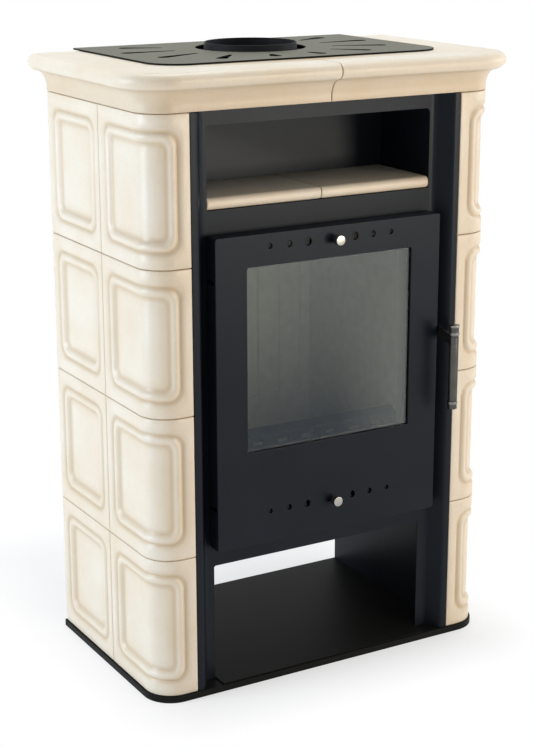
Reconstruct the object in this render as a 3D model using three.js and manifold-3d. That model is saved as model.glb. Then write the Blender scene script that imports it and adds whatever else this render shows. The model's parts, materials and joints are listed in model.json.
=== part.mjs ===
// A free-standing tiled wood stove, in millimetres, +Z up.
// X runs across the front and Y runs from the front plane of the tiles to the back.
// The finished group is shifted so that the origin is the middle of the base's underside.
import * as THREE from 'three';
import { mergeVertices } from 'three/addons/utils/BufferGeometryUtils.js';
import Module from 'manifold-3d';

const wasm = await Module();
wasm.setup();

// ---- driving dimensions -------------------------------------------------------------------

const HALF_WIDTH = 306; // tiled body, from the middle to the outer tile face
const DEPTH = 352; // tile front plane to the back of the tiles
const CORNER_R = 45; // outer radius of the corner tiles
const GAP = 0.4; // running gap between pieces that touch
const PAST = 5; // how far a cutting tool reaches past the faces that it cuts

const BASE_T = 10.5; // base plate thickness
const BASE_LIP = 3; // how far the base stands proud of the tiles
const BASE_BACK = 356;
const BASE_BACK_R = 4;

const ROWS = 4;
const ROW_PITCH = 225;
const JOINT = 1; // mortar-free joint between tiles
const TILE_Z = BASE_T + GAP; // underside of the lowest tile row
const TILE_TOP = TILE_Z + ROWS * ROW_PITCH - JOINT;
const SIDE_JOINT_Y = 164; // upright joint between corner tile and rear tile
const TILE_INNER = 237.2; // half distance between the tiles' front ends
const TILE_SKIN = 14; // thickness of the tile's face
const TILE_RIM = 10; // thickness of the rims at its back
const FRONT_RIM_DEPTH = 45; // how far the rim beside the steel front reaches back

const FRAME_T = 3; // sheet of the steel front
const STRIP_OUT = 236.6;
const STRIP_IN = 225;
const PANEL_HALF = 208; // where the sloping return meets the recessed panel
const PANEL_Y = 27; // front face of the recessed panel
const PANEL_BACK = PANEL_Y + FRAME_T;

const NICHE = { half: 197.5, z0: 761, z1: 886, back: 166 };
const DOORWAY = { half: 157, z0: 247, z1: 713 };
const BAY = { half: 192, z1: 201.5, ceiling: 205, ceilingT: 2 };

const CORNICE_Z0 = TILE_TOP + JOINT;
const CORNICE_Z1 = 969.5;
const CORNICE_SHELF_T = 14;
const CORNICE_SHELF_IN = 75; // how far the cornice's flat top reaches inwards

const PLATE = { half: 250.5, y0: 60, y1: 375, t: 2.5, r: 52, backR: 5 };
const PLATE_Z = CORNICE_Z1 + GAP;
const FLUE_Y = 244.5;
const FLUE_R = 75; // outside of the 150 mm flue collar
const FLUE_WALL = 3.5;
const PLATE_HOLE_R = 88;
const COLLAR = { foot: 962, top: 981, flangeR: 96, flangeT: 3 };

const DOOR = { half: 200.5, z0: 235, z1: 725, front: -3, skin: 3, back: 22 };
const WINDOW = { half: 147, z0: 387, z1: 676 };
const DOOR_WALL = 3;
const HINGE = { x: -190, y: 6, pin: 3, bore: 3.35, lug: 6, heights: [303, 657] };

const AIR_ROWS = { upper: 705, lower: 286.5 };
const AIR_HOLES = [[41.5, 6.2], [74.5, 5], [108, 4]]; // distance from the middle, radius
const SLIDE = { half: 124, high: 22, t: 1.8, y: 0.5, shift: 7, open: 7, close: 6 };
const KNOB_X = 5;

const LEVER = { y: 6.5, z: 537, x0: 202, x1: 206, pin: 3.8, bore: 4.2 };
const GRIP = { x: 204, y: -44, z0: 415, z1: 553, r: 7.6 };

const LINER_X = 236.8; // outer face of the inner steel sides
const LINER_T = 2;
const BODY_Z1 = 909;
const INNER_BACK = 350; // where the liners and the bay's sheets end
const BAY_FLOOR_T = 1.5;
const SHIELD = { half: 230, y1: 372, z0: 215, z1: 966, t: 1.5 };
const VENTS = { heights: [250, 860], pitch: 54, half: 20, high: 4 };
const FIREBOX = { half: 180, y0: PANEL_BACK + GAP, y1: 338, z0: 243, z1: 745, t: 4 };
const HEARTH_Z = 310; // top of the hearth bricks
const HEARTH_PLATE_Z = 279;
const HEARTH_PLATE_T = 4;
const LINING_T = 28;
const LINING_TOP = 700;
const BRICK_Y0 = 38; // front ends of the bricks
const GRATE = { half: 48, y0: 122, y1: 218, t: 14, rim: 8, pitch: 12, slot: 3 };
const GROOVES = { pitch: 42, half: 5, deep: 5, above: 60 };
const BAFFLE = { y0: 96, top: 16 };
const GUARD = { y0: 32, y1: 34.5, slots: [-110, -66, -22, 22, 66, 110], half: 9, z0: 383.5, z1: 390 };
const PAN = { half: 150, y0: 36, y1: 320, z1: 274, wall: 1.5, tab: 30, tabZ: 254 };

// ---- materials ----------------------------------------------------------------------------

function finish(color, roughness, metalness) {
  return new THREE.MeshStandardMaterial({ color, roughness, metalness });
}

const glaze = () => finish(0xeadfc9, 0.25, 0);
const paint = () => finish(0x37393c, 0.55, 0.3);
const topPaint = () => finish(0x6b6a5e, 0.5, 0.3);
const castIron = () => finish(0x2c2c2d, 0.7, 0.5);
const brightSteel = () => finish(0xc9c9c4, 0.25, 1);
const darkSteel = () => finish(0x3d3c38, 0.35, 0.8);
const fireBrick = () => finish(0xc9b48e, 0.9, 0);
const rope = () => finish(0x9a9890, 0.95, 0);
const zincSteel = () => finish(0x9a9c9e, 0.45, 0.8);

function ceramicGlass() {
  const material = finish(0x5e625c, 0.05, 0);
  material.transparent = true;
  material.opacity = 0.35;
  return material;
}

// ---- solids -------------------------------------------------------------------------------

function bare(geometry) {
  const plain = geometry.clone();
  plain.deleteAttribute('normal');
  plain.deleteAttribute('uv');
  return mergeVertices(plain, 1e-4);
}

function toSolid(geometry) {
  const plain = bare(geometry);
  return new wasm.Manifold(new wasm.Mesh({
    numProp: 3,
    vertProperties: new Float32Array(plain.attributes.position.array),
    triVerts: new Uint32Array(plain.index.array),
  }));
}

function toGeometry(solid) {
  const mesh = solid.getMesh();
  const geometry = new THREE.BufferGeometry();
  geometry.setAttribute('position', new THREE.BufferAttribute(mesh.vertProperties, 3));
  geometry.setIndex(new THREE.BufferAttribute(mesh.triVerts, 1));
  return geometry;
}

function join(first, ...others) {
  return toGeometry(others.reduce((sum, other) => sum.add(toSolid(other)), toSolid(first)));
}

function cut(body, ...tools) {
  return toGeometry(tools.reduce((rest, tool) => rest.subtract(toSolid(tool)), toSolid(body)));
}

// A closed surface from points and quads; its faces are turned outwards if they point in.
function closedSurface(points, triangles) {
  const geometry = new THREE.BufferGeometry();
  geometry.setAttribute('position', new THREE.Float32BufferAttribute(points.flat(), 3));
  const [a, b, c] = [new THREE.Vector3(), new THREE.Vector3(), new THREE.Vector3()];
  let volume = 0;
  for (const [i, j, k] of triangles) {
    a.fromArray(points[i]);
    b.fromArray(points[j]);
    c.fromArray(points[k]);
    volume += a.dot(b.cross(c));
  }
  const facing = volume > 0 ? triangles : triangles.map(([i, j, k]) => [i, k, j]);
  geometry.setIndex(facing.flat());
  return geometry;
}

function mirrored(geometry) {
  const copy = geometry.clone();
  copy.scale(-1, 1, 1);
  const index = copy.index.array;
  for (let i = 0; i < index.length; i += 3) {
    [index[i + 1], index[i + 2]] = [index[i + 2], index[i + 1]];
  }
  return copy;
}

function block(x0, x1, y0, y1, z0, z1) {
  const geometry = new THREE.BoxGeometry(x1 - x0, y1 - y0, z1 - z0);
  geometry.translate((x0 + x1) / 2, (y0 + y1) / 2, (z0 + z1) / 2);
  return geometry;
}

function extruded(shape, depth, segments) {
  return new THREE.ExtrudeGeometry(shape, { depth, bevelEnabled: false, curveSegments: segments });
}

// A shape drawn in plan (X, Y), standing from z0 to z1.
function upright(shape, z0, z1, segments = 4) {
  return extruded(shape, z1 - z0, segments).translate(0, 0, z0);
}

// A shape drawn as seen from the front (X, Z), reaching from y0 to y1.
function frontal(shape, y0, y1, segments = 2) {
  return extruded(shape, y1 - y0, segments).rotateX(Math.PI / 2).translate(0, y1, 0);
}

// A shape drawn as seen from the side (Y, Z), reaching from x0 to x1.
function sideways(shape, x0, x1, segments = 3) {
  const turn = new THREE.Matrix4().makeBasis(
    new THREE.Vector3(0, 1, 0), new THREE.Vector3(0, 0, 1), new THREE.Vector3(1, 0, 0));
  return extruded(shape, x1 - x0, segments).applyMatrix4(turn).translate(x0, 0, 0);
}

function polygon(points) {
  return new THREE.Shape(points.map(([x, y]) => new THREE.Vector2(x, y)));
}

// A rectangle with its corners rounded; radii go lower left, lower right, upper right, upper left.
function roundedRect(x0, x1, y0, y1, radii) {
  const [ll, lr, ur, ul] = Array.isArray(radii) ? radii : [radii, radii, radii, radii];
  const shape = new THREE.Shape();
  shape.moveTo(x0 + ll, y0);
  shape.lineTo(x1 - lr, y0);
  if (lr > 0) shape.absarc(x1 - lr, y0 + lr, lr, -Math.PI / 2, 0);
  shape.lineTo(x1, y1 - ur);
  if (ur > 0) shape.absarc(x1 - ur, y1 - ur, ur, 0, Math.PI / 2);
  shape.lineTo(x0 + ul, y1);
  if (ul > 0) shape.absarc(x0 + ul, y1 - ul, ul, Math.PI / 2, Math.PI);
  shape.lineTo(x0, y0 + ll);
  if (ll > 0) shape.absarc(x0 + ll, y0 + ll, ll, Math.PI, Math.PI * 1.5);
  return shape;
}

function circle(x, y, r) {
  return new THREE.Shape().absarc(x, y, r, 0, Math.PI * 2);
}

function ringShape(outer, hole) {
  outer.holes.push(hole);
  return outer;
}

// A turned piece: the profile's points are (radius, height) along +Z.
function turned(profile, segments) {
  const points = profile.map(([r, h]) => new THREE.Vector2(r, h));
  return new THREE.LatheGeometry(points, segments).rotateX(Math.PI / 2);
}

// Rounds the corners of an open line; each corner's radius may differ.
function filleted(points, radii, steps = 3) {
  const out = [];
  points.forEach((point, i) => {
    const r = radii[i] ?? 0;
    if (!r) {
      out.push(point);
      return;
    }
    const corner = new THREE.Vector2(...point);
    const toLast = new THREE.Vector2(...points[i - 1]).sub(corner).normalize();
    const toNext = new THREE.Vector2(...points[i + 1]).sub(corner).normalize();
    const half = toLast.angleTo(toNext) / 2;
    const reach = r / Math.tan(half);
    const start = corner.clone().addScaledVector(toLast, reach);
    const end = corner.clone().addScaledVector(toNext, reach);
    const middle = toLast.clone().add(toNext).normalize().multiplyScalar(r / Math.sin(half)).add(corner);
    for (let k = 0; k <= steps; k += 1) {
      const along = start.clone().lerp(end, k / steps).sub(middle).setLength(r).add(middle);
      out.push([along.x, along.y]);
    }
  });
  return out;
}

// ---- moulded tiles ------------------------------------------------------------------------

// The tile's relief, from its outer edge to the sunk panel: inset from the upright edges,
// inset from the top and bottom edges, corner radius there, and depth below the border's face.
const RELIEF = [
  [0, 0, 1, 2],
  [2, 2, 2, 0],
  [15, 20, 24, 0],
  [19.5, 25, 21, 2.6],
  [27, 32, 17, 0],
  [37, 42.5, 11, 5.6],
];
const CORNER_STEPS = 3;
const BEND_STEPS = 5;

// Runs along the left side of the stove from y0 forwards, and, if the tile turns the corner,
// round it and along the front. Gives the point at a distance along it and a depth below it.
function tilePath(yBack, yFront, turns) {
  const side = turns ? yBack - CORNER_R : yBack - yFront;
  const bend = turns ? CORNER_R * Math.PI / 2 : 0;
  const front = turns ? HALF_WIDTH - CORNER_R - TILE_INNER : 0;
  const point = (along, depth) => {
    if (along <= side || !turns) return [-HALF_WIDTH + depth, yBack - along];
    if (along >= side + bend) return [-HALF_WIDTH + CORNER_R + along - side - bend, depth];
    const angle = Math.PI + (along - side) / CORNER_R;
    const radius = CORNER_R - depth;
    return [-HALF_WIDTH + CORNER_R + radius * Math.cos(angle), CORNER_R + radius * Math.sin(angle)];
  };
  return { point, side, bend, length: side + bend + front };
}

// One ring of the relief: its lower chain runs forwards along the path, its upper chain back.
function reliefRing(path, height, insetAlong, insetUp, radius, depth) {
  const chain = [];
  for (let i = 0; i <= CORNER_STEPS; i += 1) {
    const angle = Math.PI / 2 * i / CORNER_STEPS;
    chain.push([insetAlong + radius * (1 - Math.cos(angle)), insetUp + radius * (1 - Math.sin(angle))]);
  }
  const far = chain.slice().reverse().map(([u, v]) => [path.length - u, v]);
  const bendEnd = Math.min(path.side + path.bend, far[0][0]);
  for (let i = 0; path.bend && i < BEND_STEPS; i += 1) {
    chain.push([path.side + (bendEnd - path.side) * i / BEND_STEPS, insetUp]);
  }
  if (path.bend) chain.push([bendEnd, insetUp]);
  chain.push(...far);
  const place = ([u, v], up) => [...path.point(u, depth), up ? height - v : v];
  return [...chain.map((p) => place(p, false)), ...chain.reverse().map((p) => place(p, true))];
}

// The face of a tile as a closed skin: relief in front, plain behind.
function tileSkin(path, height) {
  const rings = [[0, 0, 1, TILE_SKIN], ...RELIEF].map((row) => reliefRing(path, height, ...row));
  const count = rings[0].length;
  const points = rings.flat();
  const triangles = [];
  for (let r = 0; r + 1 < rings.length; r += 1) {
    for (let i = 0; i < count; i += 1) {
      const a = r * count + i;
      const b = r * count + (i + 1) % count;
      triangles.push([a, b, b + count], [a, b + count, a + count]);
    }
  }
  const cap = (start, flip) => {
    for (let i = 0; i + 1 < count / 2; i += 1) {
      const low = [start + i, start + i + 1];
      const high = [start + count - 1 - i, start + count - 2 - i];
      const quad = [[low[0], low[1], high[1]], [low[0], high[1], high[0]]];
      triangles.push(...quad.map(([i0, i1, i2]) => (flip ? [i0, i2, i1] : [i0, i1, i2])));
    }
  };
  cap(0, true);
  cap((rings.length - 1) * count, false);
  return mergeVertices(closedSurface(points, triangles), 1e-4);
}

// The rims that stand off the back of a tile: top, bottom and both ends.
function tileRims(height, y0, y1, turns) {
  const overlap = 1;
  const out = -HALF_WIDTH + TILE_SKIN - overlap;
  const front = turns ? TILE_SKIN - overlap : y0;
  const rims = [
    block(out, -TILE_INNER, front, y1, 0, TILE_RIM),
    block(out, -TILE_INNER, front, y1, height - TILE_RIM, height),
    block(out, -TILE_INNER, y1 - TILE_RIM, y1, 0, height),
  ];
  const edge = -TILE_INNER - TILE_RIM;
  if (turns) rims.push(block(edge, -TILE_INNER, front, FRONT_RIM_DEPTH, 0, height));
  else rims.push(block(out, -TILE_INNER, y0, y0 + TILE_RIM, 0, height));
  return rims;
}

function tile(turns) {
  const height = ROW_PITCH - JOINT;
  const y0 = turns ? 0 : SIDE_JOINT_Y + JOINT / 2;
  const y1 = turns ? SIDE_JOINT_Y - JOINT / 2 : DEPTH;
  const path = tilePath(y1, y0, turns);
  return join(tileSkin(path, height), ...tileRims(height, y0, y1, turns));
}

// ---- cornice ------------------------------------------------------------------------------

// Section of the cornice: distance out from the tile face, height above the cornice's foot.
function corniceSection() {
  const high = CORNICE_Z1 - CORNICE_Z0;
  const cove = { out: 20, up: 33.5 };
  const torus = { out: 18.2, up: high - 12.2, r: 12.2 };
  const points = [[-TILE_SKIN, 0], [0, 0], [0, 8]];
  for (let i = 1; i <= 4; i += 1) {
    const angle = Math.PI / 2 * i / 4;
    points.push([cove.out * (1 - Math.cos(angle)), 8 + (cove.up - 8) * Math.sin(angle)]);
  }
  for (let i = 1; i <= 7; i += 1) {
    const angle = Math.PI * (i / 8 * 0.97 - 0.47);
    points.push([torus.out + torus.r * Math.cos(angle), torus.up + torus.r * Math.sin(angle)]);
  }
  points.push([14, high], [-30, high], [-30, high - CORNICE_SHELF_T], [-TILE_SKIN, high - CORNICE_SHELF_T]);
  return points;
}

// The left half: along the side, round the corner and along the front to the middle joint.
function corniceHalf() {
  const section = corniceSection();
  const cornerX = -HALF_WIDTH + CORNER_R;
  const stations = [{ x: -1, y: 0, at: [0, DEPTH] }];
  const steps = 8;
  for (let i = 0; i <= steps; i += 1) {
    const angle = Math.PI + Math.PI / 2 * i / steps;
    stations.push({ x: Math.cos(angle), y: Math.sin(angle), at: [cornerX, CORNER_R] });
  }
  stations.push({ x: 0, y: -1, at: [-JOINT / 2, 0] });
  const place = (station, index, [out, up]) => {
    const z = CORNICE_Z0 + up;
    if (index === 0) return [-HALF_WIDTH - out, station.at[1], z];
    if (index === stations.length - 1) return [station.at[0], -out, z];
    const radius = CORNER_R + out;
    return [station.at[0] + radius * station.x, station.at[1] + radius * station.y, z];
  };
  const points = stations.flatMap((station, index) => section.map((p) => place(station, index, p)));
  const count = section.length;
  const triangles = [];
  for (let s = 0; s + 1 < stations.length; s += 1) {
    for (let i = 0; i < count; i += 1) {
      const a = s * count + i;
      const b = s * count + (i + 1) % count;
      triangles.push([a, b, b + count], [a, b + count, a + count]);
    }
  }
  const outline = section.map(([x, y]) => new THREE.Vector2(x, y));
  const ends = THREE.ShapeUtils.triangulateShape(outline, []);
  const last = (stations.length - 1) * count;
  const flipped = THREE.ShapeUtils.area(outline) > 0;
  for (const [i, j, k] of ends) {
    triangles.push(flipped ? [i, k, j] : [i, j, k]);
    triangles.push((flipped ? [i, j, k] : [i, k, j]).map((v) => v + last));
  }
  const shelfOut = 29;
  const shelf = polygon([
    [-HALF_WIDTH + shelfOut, DEPTH], [-HALF_WIDTH + shelfOut, shelfOut], [-JOINT / 2, shelfOut],
    [-JOINT / 2, CORNICE_SHELF_IN], [-HALF_WIDTH + CORNICE_SHELF_IN, CORNICE_SHELF_IN],
    [-HALF_WIDTH + CORNICE_SHELF_IN, DEPTH],
  ]);
  const top = upright(shelf, CORNICE_Z1 - CORNICE_SHELF_T, CORNICE_Z1);
  return join(closedSurface(points, triangles), top);
}

// ---- steel front, niche and top -----------------------------------------------------------

function basePlate() {
  const half = HALF_WIDTH + BASE_LIP;
  const r = CORNER_R + BASE_LIP;
  return upright(roundedRect(-half, half, -BASE_LIP, BASE_BACK, [r, r, BASE_BACK_R, BASE_BACK_R]), 0, BASE_T, 8);
}

function frontFrame() {
  const bend = 9;
  const fold = 2.5;
  const lean = FRAME_T * 0.57; // how much further out the sloping return's back lies
  const face = [
    [-STRIP_OUT, 0], [-STRIP_IN, 0], [-PANEL_HALF, PANEL_Y],
    [PANEL_HALF, PANEL_Y], [STRIP_IN, 0], [STRIP_OUT, 0],
  ];
  const back = [
    [STRIP_OUT, FRAME_T], [STRIP_IN + lean, FRAME_T], [PANEL_HALF + lean, PANEL_BACK],
    [-PANEL_HALF - lean, PANEL_BACK], [-STRIP_IN - lean, FRAME_T], [-STRIP_OUT, FRAME_T],
  ];
  const frontLine = filleted(face, [0, fold + FRAME_T, bend, bend, fold + FRAME_T, 0]);
  const backLine = filleted(back, [0, fold, bend + FRAME_T, bend + FRAME_T, fold, 0]);
  const sheet = upright(polygon([...frontLine, ...backLine]), TILE_Z, TILE_TOP);
  const half = PANEL_HALF - bend;
  const ledge = CORNICE_Z1 - CORNICE_SHELF_T - GAP;
  const crown = block(-half, half, PANEL_Y, PANEL_BACK, TILE_TOP - PAST, ledge);
  const through = (shape) => frontal(shape, PANEL_Y - PAST, PANEL_BACK + PAST);
  const niche = roundedRect(-NICHE.half, NICHE.half, NICHE.z0, NICHE.z1, [2, 2, 7, 7]);
  const doorway = roundedRect(-DOORWAY.half, DOORWAY.half, DOORWAY.z0, DOORWAY.z1, 6);
  const bay = roundedRect(-BAY.half, BAY.half, TILE_Z - PAST, BAY.z1, [0, 0, 3, 3]);
  return cut(join(sheet, crown), through(niche), through(doorway), through(bay));
}

function nicheBox() {
  const wall = 2;
  const [half, z0, z1] = [NICHE.half + 1, NICHE.z0, NICHE.z1 + 2];
  const front = PANEL_BACK + GAP;
  const shell = block(-half - wall, half + wall, front, NICHE.back + wall, z0 - wall, z1 + wall);
  return cut(shell, block(-half, half, front - PAST, NICHE.back, z0, z1));
}

// One half of the ceramic shelf in the niche; its front edge is a bullnose.
function shelfTile() {
  const [y0, y1] = [PANEL_Y - 1, NICHE.back - GAP];
  const [z0, z1] = [NICHE.z0 + GAP, 779.5];
  const section = roundedRect(y0, y1, z0, z1, [7, 0, 0, 8]);
  return sideways(section, -NICHE.half + GAP, -JOINT / 2, 3);
}

// A leaf-shaped slot in the cover plate: narrow near the flue, wide at its outer end.
function leafSlot(angle, from, to) {
  const [narrow, wide] = [3, 9];
  const lean = Math.acos((wide - narrow) / (to - from - wide - narrow));
  const shape = new THREE.Shape();
  shape.absarc(to - wide, 0, wide, -Math.PI + lean, Math.PI - lean);
  shape.absarc(from + narrow, 0, narrow, Math.PI - lean, Math.PI + lean);
  const slot = upright(shape, PLATE_Z - PAST, PLATE_Z + PLATE.t + PAST, 2);
  return slot.rotateZ(angle).translate(0, FLUE_Y, 0);
}

// Angle from the front, inner end and outer end of the cover plate's slots, seen from the flue.
const SLOTS = [[15, 125, 163], [42.5, 132, 198], [67.5, 132, 220], [92, 132, 223], [115, 140, 209]];

function topPlate() {
  const { half, y0, y1, r, backR } = PLATE;
  const outline = roundedRect(-half, half, y0, y1, [r, r, backR, backR]);
  const [z0, z1] = [PLATE_Z, PLATE_Z + PLATE.t];
  const sheet = upright(outline, z0, z1, 4);
  const slots = [upright(circle(0, FLUE_Y, PLATE_HOLE_R), z0 - PAST, z1 + PAST, 16)];
  for (const [degrees, from, to] of SLOTS) {
    for (const side of [-1, 1]) {
      slots.push(leafSlot(-Math.PI / 2 + side * THREE.MathUtils.degToRad(degrees), from, to));
    }
  }
  return cut(sheet, ...slots);
}

const FLUE_INSIDE = FLUE_R - FLUE_WALL;

function flueCollar() {
  const { foot, top, flangeR, flangeT } = COLLAR;
  return turned([
    [FLUE_INSIDE, foot], [flangeR, foot], [flangeR, foot + flangeT], [FLUE_R, foot + flangeT],
    [FLUE_R, top], [FLUE_INSIDE, top], [FLUE_INSIDE, foot],
  ], 32).translate(0, FLUE_Y, 0);
}

function smokeDuct() {
  const [z0, z1] = [FIREBOX.z1 + GAP, COLLAR.foot - GAP];
  return turned([
    [FLUE_INSIDE, z0], [FLUE_R, z0], [FLUE_R, z1], [FLUE_INSIDE, z1], [FLUE_INSIDE, z0],
  ], 24).translate(0, FLUE_Y, 0);
}

// ---- inner body and firebox ---------------------------------------------------------------

function sideLiner() {
  return block(-LINER_X, -LINER_X + LINER_T, FRAME_T + GAP, INNER_BACK, TILE_Z, BODY_Z1);
}

// A folded shield welded on behind, open below and above, that the cover plate reaches over.
function rearShield() {
  const { half, y1, z0, z1, t } = SHIELD;
  const y0 = DEPTH - t / 2;
  const inside = block(-half + t, half - t, y0 - PAST, y1 - t, z0 - PAST, z1 + PAST);
  return cut(block(-half, half, y0, y1, z0, z1), inside);
}

function rearPanel() {
  const foot = 208;
  const eaves = TILE_TOP + GAP;
  const ledge = CORNICE_Z1 - CORNICE_SHELF_T - GAP;
  const wing = HALF_WIDTH - TILE_SKIN - GAP;
  const neck = HALF_WIDTH - CORNICE_SHELF_IN - GAP;
  const right = [
    [LINER_X, foot], [LINER_X, eaves], [wing, eaves], [wing, ledge], [neck, ledge], [neck, CORNICE_Z1 - 1],
  ];
  const left = right.map(([x, z]) => [-x, z]).reverse();
  const outline = polygon([...right, ...left]);
  const { pitch, half, high } = VENTS;
  const vents = [];
  for (const z of VENTS.heights) {
    for (let i = -3; i <= 3; i += 1) {
      vents.push(block(i * pitch - half, i * pitch + half, DEPTH - PAST, DEPTH + PAST, z - high, z + high));
    }
  }
  return join(cut(frontal(outline, INNER_BACK + GAP, DEPTH), ...vents), rearShield());
}

// The sheet that the logs lie on, with a tongue that comes forwards between the bay's sides.
function bayFloor() {
  const wide = LINER_X - LINER_T - GAP;
  const narrow = BAY.half - GAP;
  const [front, neck, back] = [0, PANEL_BACK + GAP, INNER_BACK];
  const outline = polygon([
    [-narrow, front], [narrow, front], [narrow, neck], [wide, neck],
    [wide, back], [-wide, back], [-wide, neck], [-narrow, neck],
  ]);
  return upright(outline, BASE_T + GAP, BASE_T + GAP + BAY_FLOOR_T);
}

function bayCeiling() {
  const half = LINER_X - LINER_T - GAP;
  return block(-half, half, PANEL_BACK + GAP, INNER_BACK, BAY.ceiling, BAY.ceiling + BAY.ceilingT);
}

function fireboxBody() {
  const { half, y0, y1, z0, z1, t } = FIREBOX;
  const inside = block(-half + t, half - t, y0 - PAST, y1 - t, z0 + t, z1 - t);
  const outlet = upright(circle(0, FLUE_Y, FLUE_INSIDE), z1 - t - PAST, z1 + PAST, 16);
  return cut(block(-half, half, y0, y1, z0, z1), inside, outlet);
}

const INSIDE = FIREBOX.half - FIREBOX.t - GAP; // half width left for the bricks
const BRICK_Z = HEARTH_PLATE_Z + HEARTH_PLATE_T + GAP;
const BACK_BRICK_Y = FIREBOX.y1 - FIREBOX.t - GAP;

function hearthPlate() {
  const [z0, z1] = [HEARTH_PLATE_Z, HEARTH_PLATE_Z + HEARTH_PLATE_T];
  const { half, y0, y1, rim } = GRATE;
  const hole = block(-half + rim, half - rim, y0 + rim, y1 - rim, z0 - PAST, z1 + PAST);
  return cut(block(-INSIDE, INSIDE, FIREBOX.y0 + 1, BACK_BRICK_Y, z0, z1), hole);
}

function liningSide() {
  return block(-INSIDE, -INSIDE + LINING_T, BRICK_Y0, BACK_BRICK_Y - LINING_T - GAP, BRICK_Z, LINING_TOP);
}

// Back brick with the upright grooves that carry secondary air.
function liningBack() {
  const face = BACK_BRICK_Y - LINING_T;
  const brick = block(-INSIDE, INSIDE, face, BACK_BRICK_Y, BRICK_Z, LINING_TOP);
  const { pitch, half, deep, above } = GROOVES;
  const grooves = [];
  for (let i = -3; i <= 3; i += 1) {
    const x = i * pitch;
    grooves.push(block(x - half, x + half, face - PAST, face + deep, HEARTH_Z + above, LINING_TOP + PAST));
  }
  return cut(brick, ...grooves);
}

function hearthBrickSide() {
  const x = INSIDE - LINING_T - GAP;
  return block(-x, -GRATE.half - GAP, BRICK_Y0, BACK_BRICK_Y - LINING_T - GAP, BRICK_Z, HEARTH_Z);
}

function hearthBrickMiddle(y0, y1) {
  return block(-GRATE.half, GRATE.half, y0, y1, BRICK_Z, HEARTH_Z);
}

function grate() {
  const { half, y0, y1, t, rim, pitch, slot } = GRATE;
  const slots = [];
  for (let i = -3; i <= 3; i += 1) {
    const x = i * pitch;
    slots.push(block(x - slot, x + slot, y0 + rim, y1 - rim, BRICK_Z - PAST, BRICK_Z + t + PAST));
  }
  return cut(block(-half, half, y0 + GAP, y1 - GAP, BRICK_Z, BRICK_Z + t), ...slots);
}

function baffle() {
  return block(-INSIDE, INSIDE, BAFFLE.y0, BACK_BRICK_Y, LINING_TOP + GAP, LINING_TOP + BAFFLE.top);
}

// Folded steel guard that keeps logs off the glass, with a row of air slots near its top.
function logGuard() {
  const reach = INSIDE - LINING_T - 1;
  const { y0, y1, half, z0, z1 } = GUARD;
  const profile = polygon([
    [y0, BRICK_Z], [y1, BRICK_Z], [y1, z1 + 8], [y1 + 15.5, z1 + 16], [y1 + 14.3, z1 + 18.2], [y0, z1 + 9.5],
  ]);
  const slots = GUARD.slots.map((x) => block(x - half, x + half, y0 - PAST, y1 + PAST, z0, z1));
  return cut(sideways(profile, -reach, reach), ...slots);
}

function ashPan() {
  const { half, y0, y1, z1, wall, tabZ } = PAN;
  const z0 = FIREBOX.z0 + FIREBOX.t + GAP;
  const tray = cut(
    block(-half, half, y0, y1, z0, z1),
    block(-half + wall, half - wall, y0 + wall, y1 - wall, z0 + wall, z1 + PAST));
  const [root, bend, lip] = [y0 + 1, y0 - 9, y0 - 11];
  const tab = polygon([
    [root, tabZ + 8], [bend, tabZ + 8], [bend, tabZ], [lip, tabZ], [lip, tabZ + 10], [root, tabZ + 10],
  ]);
  return join(tray, sideways(tab, -PAN.tab, PAN.tab));
}

// ---- door ---------------------------------------------------------------------------------

function hingeEars(z) {
  const ears = [];
  for (const [low, high] of [[z - 10, z - HINGE.lug / 2 - GAP], [z + HINGE.lug / 2 + GAP, z + 10]]) {
    ears.push(block(-DOOR.half + 1, HINGE.x + 6, -0.5, HINGE.y + 6, low, high));
  }
  return ears;
}

// Guides that hold an air slide against the back of the door's skin.
function slideRails(z) {
  const half = SLIDE.half + 12;
  const lip = SLIDE.y + SLIDE.t + GAP;
  return [-1, 1].flatMap((side) => {
    const near = z + side * (SLIDE.high / 2 - 2);
    const wall = z + side * (SLIDE.high / 2 + GAP);
    const far = z + side * (SLIDE.high / 2 + 3.5);
    const span = (a, b) => [Math.min(a, b), Math.max(a, b)];
    return [
      block(-half, half, -0.5, lip + 1.5, ...span(wall, far)),
      block(-half, half, lip, lip + 1.5, ...span(near, far)),
    ];
  });
}

function airHoles(z, shift, y0, y1) {
  return AIR_HOLES.flatMap(([x, r]) => [-1, 1].map((side) => (
    frontal(circle(side * x + shift, z, r), y0, y1, 5))));
}

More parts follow.
